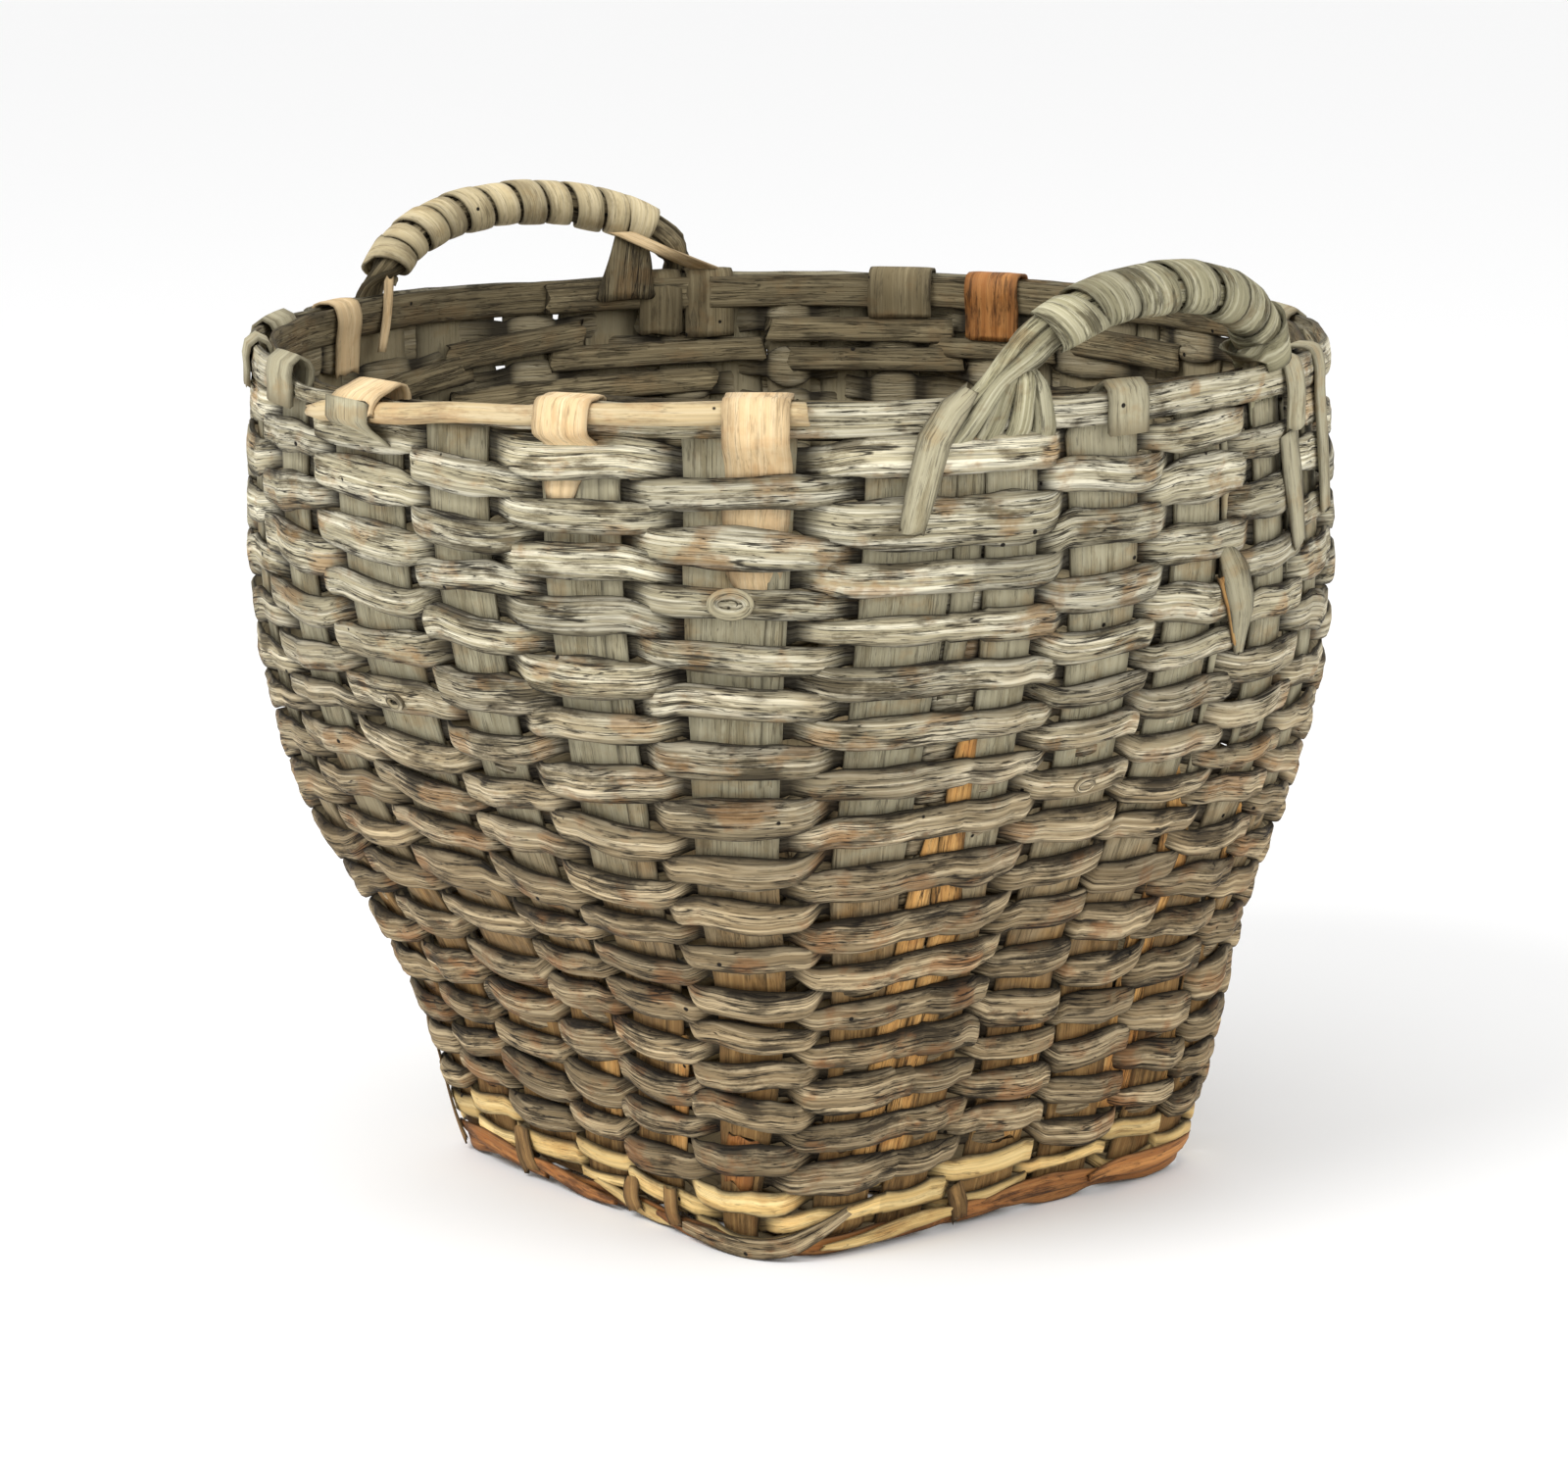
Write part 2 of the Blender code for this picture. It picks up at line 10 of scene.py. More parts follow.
import bpy
import numpy as np
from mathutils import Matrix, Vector


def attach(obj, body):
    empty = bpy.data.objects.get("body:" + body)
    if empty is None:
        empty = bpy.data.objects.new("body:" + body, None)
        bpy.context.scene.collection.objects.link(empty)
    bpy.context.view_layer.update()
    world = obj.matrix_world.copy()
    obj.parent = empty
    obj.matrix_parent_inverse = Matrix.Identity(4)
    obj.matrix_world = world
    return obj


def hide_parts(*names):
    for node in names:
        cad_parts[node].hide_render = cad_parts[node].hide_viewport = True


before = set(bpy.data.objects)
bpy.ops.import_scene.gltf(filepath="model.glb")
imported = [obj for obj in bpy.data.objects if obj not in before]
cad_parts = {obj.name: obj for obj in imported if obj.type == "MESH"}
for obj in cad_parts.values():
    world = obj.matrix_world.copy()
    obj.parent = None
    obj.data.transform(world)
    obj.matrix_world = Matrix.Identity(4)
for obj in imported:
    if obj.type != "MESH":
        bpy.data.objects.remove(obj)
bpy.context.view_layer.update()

# ---------------------------------------------------------------- design values shared with the solids
RIM_HEIGHT = 0.4015
FOOT_RADIUS = 0.166
SQUARENESS = 7.0
SQUARE_HEIGHT = 0.40
WAIST_HEIGHT = 0.16
FLAT_FOOT_HEIGHT = 0.04
LEAN = np.array((-0.0098, -0.0120, 0.0))
LEAN_FROM, LEAN_TO = 0.04, 0.19
OUTLINE = ((0.0, FOOT_RADIUS), (0.06, 0.183), (0.12, 0.2015), (0.18, 0.2285), (0.24, 0.2445),
           (0.305, 0.2505), (RIM_HEIGHT, 0.245))
SPLINT_THICKNESS = 0.003
GAP = 0.0007
TWIST_ROOM = 0.045
HOOP_THICKNESS = 0.0035
HOOP_BOTTOM = 0.3865
CUT_STAKE_TOP = HOOP_BOTTOM - 0.0010
HELD_STAKE_TOP = 0.3995
TOP_ROW_HEIGHT = 0.3777
ROW_COUNT = 31
TOP_PITCH, BOTTOM_PITCH = 0.0124, 0.0101
FOOT_ROW_HEIGHTS = (0.0300, 0.0205)
REPAIR_ROD_RADIUS = 0.0045
HANDLE_TOP = 0.4425
FOLDED_ENDS = {"y_a-", "y_b-", "x_c+", "y_e+", "x_a-"}
CUT_ENDS = {"x_b+", "x_e+", "x_c-", "x_e-"}
# Splints along Y, from -X to +X: letter, place, widths at foot and rim, and the angles of each end at the
# waist
# and the rim, with the -Y end first. An end is named after its splint, as in y_a-.
SPLINTS_ALONG_Y = (
    ("a", -0.108, 0.022, 0.026, (-124.0, -119.0), (128.8, 128.0)),
    ("b", -0.080, 0.026, 0.030, (-109.5, -103.0), (117.3, 115.0)),
    ("c", -0.036, 0.040, 0.050, (-91.5, -87.0), (102.5, 101.0)),
    ("d", 0.003, 0.032, 0.034, (-73.0, -74.3), (85.7, 84.5)),
    ("e", 0.042, 0.032, 0.038, (-57.5, -60.0), (68.4, 67.0)),
    ("f", 0.097, 0.022, 0.052, (-44.3, -43.8), (50.7, 50.0)),
)
# The same for the splints along X, from -Y to +Y, with the +X end first. The first two are woven as a pair.
SPLINTS_ALONG_X = (
    ("a", -0.094, 0.030, 0.042, (-30.2, -26.5), (220.4, 222.0)),
    ("b", -0.059, 0.026, 0.025, (-15.6, -16.2), (206.8, 207.5)),
    ("c", -0.010, 0.034, 0.039, (0.0, -5.8), (193.0, 197.0)),
    ("d", 0.036, 0.034, 0.030, (12.8, 7.5), (171.1, 174.0)),
    ("e", 0.078, 0.024, 0.027, (28.5, 20.5), (152.0, 154.0)),
    ("f", 0.105, 0.019, 0.024, (38.5, 34.0), (140.7, 141.0)),
)

# ---------------------------------------------------------------- values of the looks
UP = np.array((0.0, 0.0, 1.0))
STAKE_THICKNESS = 0.0024
STRAP_THICKNESS = 0.0018
STAKE_FACE = STAKE_THICKNESS / 2 + 0.0004  # how far a thin strip stands off the wall where it lies on a stake
SLOPE_STEP = 0.002  # height over which the wall's slope is measured
WALL_STEPS = 72  # stations of a splint up one wall
WORN_ENDS = {"y_c-", "y_d-", "y_e-"}  # stake tops that have rotted away behind the peeled rod
FOLD_SHAPES = {"x_c+": (0.009, 0.55)}  # shift along the rim and share of the width that is folded over
WORN_RIM = (-108.0, -60.0)  # the hoops are worn down between these angles, in degrees
WORN_DEPTH = 0.0040
STAKE_STEPS, GAP_STEPS = 9, 7  # stations of a row across a stake and across the gap after it
LAST_SILVERED_ROW = 12
WIDE_ROWS = {1: 0.10, 3: 0.14}  # flat splints among the rods, and how much wider they are
LOW_ROWS_WIDER = 0.11  # how much wider the rows get below the middle
CREST_SHARE = 0.70  # half-height of a row where it crosses a stake, as a share of the pitch
CREST_SPREAD = (0.84, 1.14)  # factor that varies it from stake to stake
SHOULDER_SHARES = (0.64, 0.72)  # the same share beside the stake, and
TIP_SHARES = (0.46, 0.54)  # behind the next stake
BULGE_SPREAD = (0.85, 1.20)  # factor that varies how far a row bulges out
CREST_LIFT = 0.0012  # how much further a row stands out in the middle of a stake
ROW_WANDER, ROW_SLANT = 0.0007, 0.0020  # how far a row shifts and slants at a stake
DIVE_FROM = 0.35  # a row starts to dive behind the next stake this far across the gap
# Pale rows at the foot: height, pitch, bulge and share of the pitch. The last one has no solid.
FOOT_ROWS = (*((height, 0.0095, 0.0022, 0.52) for height in FOOT_ROW_HEIGHTS), (0.0128, 0.0080, 0.0018, 0.50))
RIM_RADIUS = 0.245  # turns angles into lengths along the wall where strips are laid
ROD_SINK = 0.013  # how much lower the left end of the peeled rod lies
FOOT_STAND = 0.0044  # how far the band round the foot stands off the middle of the wall
# Ends of splints that stand over the band: angle in degrees, top and width in millimetres.
FOOT_SPLINTS = ((-132.5, 75, 9), (-113, 26, 14), (-78, 20, 12), (-66, 24, 10), (-14, 22, 10), (70, 26, 12),
                (160, 24, 12))
# The way down of each below its top: degrees along the wall, height, and distance out from the band.
FOOT_SPLINT_FALL = ((0.8, 0.013, 0.0038), (1.4, 0.0072, 0.0034))
# Loose strips round the foot: first and last angle in degrees, heights there and width in millimetres, tone,
# slot.
FOOT_LEAVES = (
    (-133, -108, 15, 8, 10, -0.2, "brown_splint"),
    (-112, -84, 11, 7, 9, 0.6, "brown_splint"),
    (-90, -62, 12, 5, 8, -0.4, "fresh_willow"),
    (-70, -47, 8, 6, 9, -0.3, "brown_splint"),
    (-40, -12, 9, 11, 9, -0.5, "fresh_willow"),
    (-30, 2, 7, 9, 9, 0.3, "brown_splint"),
    (-8, 30, 10, 13, 11, -0.3, "brown_splint"),
    (22, 44, 10, 18, 12, 0.8, "brown_splint"),
    (60, 95, 10, 6, 9, -0.4, "brown_splint"),
    (110, 150, 7, 11, 9, 0.2, "brown_splint"),
    (165, 205, 11, 7, 10, -0.2, "brown_splint"),
)
# Strip that loops round the corner of the foot: angle in degrees, height and width in millimetres.
CORNER_STRIP = ((-37, 25, 6), (-41, 17, 9), (-44.5, 10.6, 10), (-49, 8, 10), (-56, 8.2, 9), (-61, 9.5, 6))
# Knots: end of a splint, then shift along the wall, height, stand out of the wall and size in millimetres.
KNOTS = (("y_f-", -2, 316.5, 7.3, 4.6), ("y_e-", 17, 348, 3.0, 2.8), ("y_c-", 4, 256, 8.4, 2.8),
         ("x_c+", -4, 224, 8.6, 2.8))
# Splints bent over the rim: name, end of a splint, then in millimetres the shift along the rim, width, bottom
# inside and bottom outside; then further room outside in metres, slot, tone and other values of strap().
# Those
# whose names start with rim_ are CAD nodes.
ROD_ROOM = 2 * REPAIR_ROD_RADIUS + GAP
STRAPS = (
    ("rim_loop_left", "y_c-", 8, 32, 386, 388.5, ROD_ROOM, "tan_splint", 0.3,
     dict(crest_lift=-0.0030, inner_room=-0.004, fall=0.0055)),
    ("rim_loop_middle", "y_e-", -2, 26, 386, 388, ROD_ROOM, "tan_splint", 0.6,
     dict(crest_lift=-0.0020, inner_room=-0.003, tail=((0.0120, 0.3850), (0.0050, 0.3815), (0.0022, 0.376)))),
    ("rim_loop_front", "y_f-", 9, 30, 386, 386, ROD_ROOM, "tan_splint", 0.2,
     dict(tail=((0.0110, 0.3805), (0.0052, 0.3750), (0.0024, 0.3690), (0.0020, 0.3630)))),
    ("rim_loop_far", "y_b+", 0, 30, 370, 380, 0.0, "brown_splint", 0.0, {}),
    ("rim_loop_handle", "x_b-", -6, 24, 368, 380, 0.0, "tan_splint", 0.0, {}),
    ("rim_strap_side", "x_f+", 0, 20, 384, 328, 0.0, "weathered_splint", 0.0, {}),
    ("side_fold", "x_e+", 15, 18, 386, 372, 0.001, "weathered_splint", 0.4, {}),
    ("far_fold_1", "x_e-", 13, 23, 372, 391, 0.0, "dark_splint", -0.4, dict(look="dark_fold")),
    ("far_fold_2", "x_e-", -13, 26, 370.5, 391, 0.0, "dark_splint", 0.1,
     dict(look="dark_fold", crest_lift=0.0005)),
    ("far_fold_3", "y_a+", -4, 34, 380, 391, 0.0, "dark_splint", 0.6,
     dict(look="dark_fold", crest_lift=0.0010)),
)
# Strips beside the stakes: name, end of a splint, slot, look, tone, thickness, stand off the wall, and the
# path
# down, as (height, shift along the wall, width). Lengths are in millimetres.
ON_STAKE = 1000 * STAKE_FACE
WALL_STRIPS = (
    ("side_splint", "x_e+", "weathered_splint", None, -0.3, 1.4, 6.8,
     ((370, 10, 18), (350, 13, 20), (318, 18, 12))),
    ("broken_end", "x_d+", "weathered_splint", None, -0.5, 1.4, (4.0, 6.8, 7.5, 6.6),
     ((324, 16, 8), (312, 22, 18), (295, 28, 16), (274, 31, 6))),
    ("broken_end_core", "x_d+", "weathered_splint", "inner_splint", -1.6, 1.4, (6.0, 7.2, 6.8),
     ((312, 12.5, 4), (298, 19.5, 5), (280, 27, 4))),
    ("front_strip", "y_f-", "tan_splint", None, 0.2, 1.0, ON_STAKE,
     ((366, 9, 30), (352, 8, 30), (330, 8, 26), (316, 10, 10))),
    ("middle_strip", "y_e-", "tan_splint", None, 0.4, 1.0, ON_STAKE,
     ((378, -4, 24), (370, -8, 20), (356, -10, 12))),
    ("second_strip_1", "y_e-", "weathered_splint", None, -0.5, 1.0, ON_STAKE,
     ((384, 13.5, 10), (200, 12.5, 11), (70, 10, 10))),
    ("second_strip_2", "y_f-", "weathered_splint", None, -0.4, 1.0, ON_STAKE,
     ((384, 20.5, 9), (280, 15, 9), (235, 13, 6))),
    ("second_strip_3", "x_a+", "weathered_splint", None, -0.3, 1.0, 0.2,
     ((384, 26, 13), (330, 27, 13), (270, 27, 10))),
    ("second_strip_4", "x_d+", "weathered_splint", None, -0.2, 1.0, 0.2,
     ((384, 22, 10), (260, 24, 10), (200, 26, 8))),
    ("second_strip_5", "x_e+", "weathered_splint", None, -0.5, 1.0, 0.2, ((384, 21, 9), (240, 24, 10))),
    ("insert_1", "x_a+", "weathered_splint", "inner_splint", 0.0, 1.0, ON_STAKE,
     ((262, 40, 8), (240, 40, 12), (155, 42.5, 19), (85, 27, 18), (35, 22, 18))),
    ("insert_2", "x_a+", "weathered_splint", "inner_splint", 0.4, 1.0, ON_STAKE + 0.3,
     ((215, 30, 5), (190, 28, 11), (155, 23, 16), (85, 10, 16), (35, 6, 14))),
    ("insert_3", "x_d+", "weathered_splint", "inner_splint", 0.2, 1.0, 0.3,
     ((218, 13, 5), (190, 25, 16), (155, 34, 26), (110, 32, 30), (45, 24, 26))),
    ("insert_4", "x_c+", "weathered_splint", "inner_splint", 0.3, 1.0, ON_STAKE,
     ((112, 8, 8), (85, 9, 17), (40, 6, 20))),
    ("insert_5", "x_e+", "weathered_splint", "inner_splint", 0.0, 1.0, 0.3,
     ((190, 12, 8), (150, 26, 22), (100, 24, 26), (45, 18, 24))),
    ("insert_6", "y_e-", "weathered_splint", "inner_splint", 0.8, 1.0, ON_STAKE,
     ((108, 14, 10), (40, 13, 12))),
    ("insert_7", "y_d-", "weathered_splint", "inner_splint", 0.2, 1.0, ON_STAKE, ((88, 10, 16), (40, 8, 14))),
    ("insert_8", "y_f-", "brown_splint", None, 0.5, 1.0, ON_STAKE, ((60, 0, 17), (34, -1, 16))),
)
# Strips that double the far stakes: angle in degrees and width in millimetres.
DOUBLED_STAKES = ((164.4, 48), (184.2, 52), (147.5, 30), (134.5, 26), (110.0, 18), (94.0, 16))
# Long strips on the far inner wall: first and last angle in degrees, heights there and width in millimetres.
INNER_FLOATS = (
    (186.5, 167.0, 366.5, 373.5, 14.5),
    (171.5, 144.0, 360.5, 363.0, 13.0),
    (143.5, 120.5, 373.5, 374.0, 13.5),
    (141.0, 119.0, 358.0, 359.0, 12.5),
    (203.0, 183.0, 351.0, 361.0, 14.5),
    (186.0, 150.0, 343.0, 347.5, 13.0),
    (123.5, 107.0, 365.5, 365.0, 11.0),
    (104.0, 87.0, 373.0, 370.0, 15.0),
)
# how far inside the wall's middle, in millimetres
FLOAT_STANDS = (4.6, 5.8, 6.4, 6.4, 6.4, 6.4, 6.4, 5.8, 4.6)
STRAND_COUNT = 5  # in each handle
WRAP_STEPS = 20  # stations in a turn of a handle's winding
# Legs of the handles, from their tips up, in millimetres: shift along the rim, stand out, height and the
# width
# over which the strands fan out.
FRONT_LEFT_LEG = ((-13, 2.0, 374, 54), (-13, 2.4, 382, 53), (-12, 6.6, 388.5, 49), (-9, 9.2, 397.5, 39),
                  (-4, 8.0, 407, 26))
FRONT_RIGHT_LEG = ((0, 0.0, 376, 20), (0, 0.0, 386, 20), (0, 0.5, 399, 16), (0, 1.0, 408.5, 12))
BACK_LEG = ((0, 6.0, 374, 16), (0, 7.0, 386, 16), (0, 7.5, 399, 12), (0, 4.0, 408, 8))
# Strips from the back handle to the rim: name, place on the arch, drop below it, angle of the foot in
# degrees,
# its height, widths at top and foot, how far the top and the middle stand inside, slot and tone.
HANDLE_STRIPS = (
    ("handle_back_splint", 0.74, 0.0, 162.0, 0.392, (0.014, 0.032), (0.004, 0.003), "dark_splint", -0.2),
    ("handle_back_tail", 0.72, 0.008, 151.0, 0.4045, (0.014, 0.014), (0.009, 0.0125), "tan_splint", 0.0),
    ("handle_back_tie", 0.07, 0.0, 199.5, 0.378, (0.007, 0.006), (0.004, 0.003), "tan_splint", 0.2),
)
# Camera, fitted to the rim's ellipse and three corners of the foot.
CAMERA_LENS, CAMERA_SENSOR = 112.70, 36.0
CAMERA_DISTANCE, CAMERA_HEIGHT = 2.3, 0.68209
CAMERA_AZIMUTH = math.radians(50.677)
CAMERA_PITCH, CAMERA_ROLL, CAMERA_YAW = 0.20495, 0.00137, 0.00739
LIGHTS = (("key_light", (0.2, -2.4, 2.6), 1.6, 62.0), ("side_light", (2.6, 0.6, 1.4), 1.8, 16.0))
LIT_HEIGHT = 0.2  # both lamps point at this height
FLOOR_REACH, FLOOR_GREY = 30.0, 0.93


def unit(v):
    return v / np.maximum(np.linalg.norm(v, axis=-1, keepdims=True), 1e-12)


def ease(t):
    t = np.clip(t, 0.0, 1.0)
    return t * t * (3.0 - 2.0 * t)


def hermite(t, start, leaving, end, arriving):
    """Place at share t of a curve from start to end, with the slopes at both."""
    return ((2 * t**3 - 3 * t**2 + 1) * start + (t**3 - 2 * t**2 + t) * leaving
            + (3 * t**2 - 2 * t**3) * end + (t**3 - t**2) * arriving)


def seed(name, kind=0):
    """Random numbers that depend on the piece's name only."""
    return np.random.default_rng(zlib.crc32(name.encode()) + kind)


def add_object(name, data):
    made = bpy.data.objects.new(name, data)
    bpy.context.scene.collection.objects.link(made)
    return made


# ---------------------------------------------------------------- the wall
def outline_radius(height):
    height = min(max(height, 0.0), RIM_HEIGHT)
    index = 0
    while index < len(OUTLINE) - 2 and height > OUTLINE[index + 1][0]:
        index += 1
    (z0, r0), (z1, r1) = OUTLINE[index], OUTLINE[index + 1]
    before = OUTLINE[max(index - 1, 0)]
    after = OUTLINE[min(index + 2, len(OUTLINE) - 1)]
    span = z1 - z0
    leaving = (r1 - before[1]) / (z1 - before[0]) * span
    arriving = (after[1] - r0) / (after[0] - z0) * span
    return hermite((height - z0) / span, r0, leaving, r1, arriving)


def wall_exponent(height):
    """Exponent of the wall's superellipse, which goes from square to round as the wall rises."""
    return 2.0 + SQUARENESS * max(0.0, 1.0 - height / SQUARE_HEIGHT) ** 2


def wall_point(angle, height):
    """Mid-surface of the wall."""
    exponent = wall_exponent(height)
    half_side = outline_radius(height) / 2 ** (0.5 - 1.0 / exponent)
    cosine, sine = math.cos(angle), math.sin(angle)
    radius = half_side / (abs(cosine) ** exponent + abs(sine) ** exponent) ** (1.0 / exponent)
    leaning = LEAN * ease((height - LEAN_FROM) / (LEAN_TO - LEAN_FROM))
    return np.array((radius * cosine, radius * sine, height)) + leaning


def wall_facing(angle, height):
    """Direction in plan that the wall faces at a point."""
    power = wall_exponent(height) - 1.0
    cosine, sine = math.cos(angle), math.sin(angle)
    return math.atan2(math.copysign(abs(sine) ** power, sine), math.copysign(abs(cosine) ** power, cosine))


def upward(point_at, height, along):
    """Unit vector up a surface whose point at a height is given, square to the direction along it."""
    up = point_at(height + SLOPE_STEP) - point_at(height - SLOPE_STEP)
    return unit(up - along * up.dot(along))


def wall_seat(angle, height):
    """Point on the mid-surface of the wall, with unit vectors along the wall and out of it."""
    facing = wall_facing(angle, height)
    along = np.array((-math.sin(facing), math.cos(facing), 0.0))
    up = upward(lambda z: wall_point(angle, z), height, along)
    return wall_point(angle, height), along, np.cross(along, up)


def nearest_turn(angle):
    return (angle + math.pi) % (2 * math.pi) - math.pi


class Stake:
    """One end of a splint, where it stands in the wall."""

    def __init__(self, foot, foot_width, rim_width, degrees):
        waist, rim = (math.radians(value) for value in degrees)
        self.foot_angle = math.atan2(foot[1], foot[0])
        self.waist_turn = nearest_turn(waist - self.foot_angle)
        self.rim_turn = nearest_turn(rim - waist)
        side_length = max(abs(foot[0]), abs(foot[1]))
        facing = [math.copysign(1.0, c) if abs(c) == side_length else 0.0 for c in foot]
        self.foot_facing = math.atan2(facing[1], facing[0])
        self.facing_turn = nearest_turn(rim - self.foot_facing)
        self.foot_width = foot_width
        self.rim_width = rim_width

    def angle(self, height):
        below = ease(height / WAIST_HEIGHT)
        above = ease((height - WAIST_HEIGHT) / (RIM_HEIGHT - WAIST_HEIGHT))
        return self.foot_angle + self.waist_turn * below + self.rim_turn * above

    def angle_beside(self, height, shift):
        """Angle round the basket at a distance along the wall from the stake's middle."""
        return self.angle(height) + shift / np.linalg.norm((self.centre(height) - LEAN)[:2])

    def width(self, height):
        return self.foot_width + (self.rim_width - self.foot_width) * height / RIM_HEIGHT

    def centre(self, height):
        return wall_point(self.angle(height), height)

    def frame(self, height):
        """Unit vectors along the wall, up the stake and out of the wall."""
        turn = nearest_turn(wall_facing(self.angle(height), height) - self.foot_facing)
        facing = self.foot_facing + turn * min(max(height, 0.0) / FLAT_FOOT_HEIGHT, 1.0)
        along = np.array((-math.sin(facing), math.cos(facing), 0.0))
        if height + SLOPE_STEP > RIM_HEIGHT:
            up = UP
        else:
            up = upward(self.centre, height, along)
        return along, up, unit(np.cross(along, up))

    def beside(self, height, out, shift=0.0):
        """Point out of the wall and along it. Above the rim it keeps the rim's place."""
        seat_height = min(height, RIM_HEIGHT)
        along, _, outward = self.frame(RIM_HEIGHT)
        point = self.centre(seat_height) + outward * out + along * shift
        point[2] = height
        return point

    def clearance(self):
        return GAP + TWIST_ROOM * self.rim_width / 2 * abs(self.facing_turn)


def make_stakes():
    """Stakes by the names of their ends, then in order round the basket, then +1 or -1 for each in the
    weave."""
    half_side = FOOT_RADIUS / 2**0.4
    stakes = {}
    for letter, place, foot, rim, south, north in SPLINTS_ALONG_Y:
        stakes[f"y_{letter}-"] = Stake((place, -half_side), foot, rim, south)
        stakes[f"y_{letter}+"] = Stake((place, half_side), foot, rim, north)
    for letter, place, foot, rim, east, west in SPLINTS_ALONG_X:
        stakes[f"x_{letter}+"] = Stake((half_side, place), foot, rim, east)
        stakes[f"x_{letter}-"] = Stake((-half_side, place), foot, rim, west)
    order = [form % letter for form,
             letters in (("y_%s-", "abcdef"), ("x_%s+", "abcdef"), ("y_%s+", "fedcba"),
                                                 ("x_%s-", "fedcba")) for letter in letters]
    sides = [1]
    for pair in zip(order, order[1:]):
        paired = set(pair) in ({"x_a+", "x_b+"}, {"x_a-", "x_b-"})
        sides.append(sides[-1] if paired else -sides[-1])
    return stakes, [stakes[key] for key in order], sides


# ---------------------------------------------------------------- node materials
class Graph:
    """Short names for the nodes that the wood materials are made of."""

    def __init__(self, material):
        self.tree = material.node_tree
        self.shader = self.tree.nodes["Principled BSDF"]

    def add(self, kind, **values):
        node = self.tree.nodes.new(kind)
        for key, value in values.items():
            setattr(node, key, value)
        return node

    def link(self, source, socket):
        if hasattr(source, "is_output"):
            self.tree.links.new(source, socket)
        else:
            socket.default_value = source

    def attribute(self, name, output="Fac"):
        return self.add("ShaderNodeAttribute", attribute_name=name).outputs[output]

    def noise(self, vector, scale, detail, roughness):
        scaled = self.add("ShaderNodeVectorMath", operation="MULTIPLY")
        self.link(vector, scaled.inputs[0])
        scaled.inputs[1].default_value = scale
        node = self.add("ShaderNodeTexNoise")
        self.link(scaled.outputs[0], node.inputs["Vector"])
        for key, value in (("Scale", 1.0), ("Detail", detail), ("Roughness", roughness)):
            node.inputs[key].default_value = value
        return node.outputs[0]

    def math(self, operation, a, b=0.0, clamp=False):
        node = self.add("ShaderNodeMath", operation=operation, use_clamp=clamp)
        self.link(a, node.inputs[0])
        self.link(b, node.inputs[1])
        return node.outputs[0]

    def step(self, value, low, high):
        """0 below low and 1 above high, eased between. low may be above high."""
        node = self.add("ShaderNodeMapRange", interpolation_type="SMOOTHSTEP")
        ends = (0.0, 1.0) if low < high else (1.0, 0.0)
        for index, source in enumerate((value, min(low, high), max(low, high), *ends)):
            self.link(source, node.inputs[index])
        return node.outputs[0]

    def mix(self, share, first, second):
        node = self.add("ShaderNodeMix", data_type="RGBA", blend_type="MIX")
        self.link(share, node.inputs[0])
        for colour, socket in ((first, node.inputs[6]), (second, node.inputs[7])):
            self.link(colour if hasattr(colour, "is_output") else (*colour, 1.0), socket)
        return node.outputs[2]


def srgb(red, green, blue):
    """Linear colour from the 0-255 scale."""
    return tuple(((c / 255 + 0.055) / 1.055) ** 2.4 for c in (red, green, blue))


PALETTES = {  # light worn fibre, middle, dark stain, accent stain
    "silver": (srgb(232, 226, 203), srgb(166, 157, 129), srgb(80, 69, 46), srgb(148, 112, 68)),
    "earth": (srgb(222, 200, 160), srgb(140, 121, 90), srgb(44, 35, 23), srgb(146, 98, 56)),
    "stake_top": (srgb(190, 183, 156), srgb(166, 158, 130), srgb(124, 112, 82), srgb(158, 130, 86)),
    "stake_foot": (srgb(204, 164, 104), srgb(150, 115, 70), srgb(72, 54, 34), srgb(122, 80, 42)),
    "insert": (srgb(232, 186, 118), srgb(200, 150, 86), srgb(120, 78, 40), srgb(176, 112, 54)),
    "willow": (srgb(246, 224, 166), srgb(224, 190, 124), srgb(160, 116, 62), srgb(198, 148, 82)),
    "brown": (srgb(208, 150, 88), srgb(162, 106, 56), srgb(74, 42, 20), srgb(172, 106, 44)),
    "dark": (srgb(156, 143, 112), srgb(112, 100, 74), srgb(50, 42, 29), srgb(118, 94, 62)),
    "rod": (srgb(214, 200, 168), srgb(196, 174, 132), srgb(140, 110, 74), srgb(184, 142, 96)),
    "tan": (srgb(232, 212, 174), srgb(214, 186, 142), srgb(150, 118, 76), srgb(196, 150, 98)),
    "pale": (srgb(226, 212, 178), srgb(196, 180, 142), srgb(126, 110, 78), srgb(172, 146, 100)),
    "grey": (srgb(216, 210, 182), srgb(150, 144, 114), srgb(72, 65, 45), srgb(128, 108, 74)),
}
INSIDE_SHADE = srgb(140, 127, 98)  # painted shade for the backs of the strips, which face into the basket
# Dark of fibres, cracks and worm holes, also used for painted shade where rows dive behind stakes, in knot
# holes and along the edges of strips.
DIRT_AND_SHADE = srgb(26, 21, 14)
# Noises of the wood: scale along the strip, across it and from piece to piece, detail and roughness.
FIBRE = ((30.0, 820.0, 1.0), 3.0, 0.62)
STREAK = ((10.0, 430.0, 1.0), 3.0, 0.6)
PATCH = ((30.0, 110.0, 1.0), 5.0, 0.68)
SPLITS = (((9.0, 260.0, 1.7), 2.0, 0.5), ((22.0, 560.0, 2.3), 2.0, 0.5))
SPLIT_WIDTHS = (0.017, 0.014)
BLOTCH = ((38.0, 38.0, 55.0), 4.0, 0.62)  # by place, not along the strip
WORM_HOLE_SCALE = 46.0


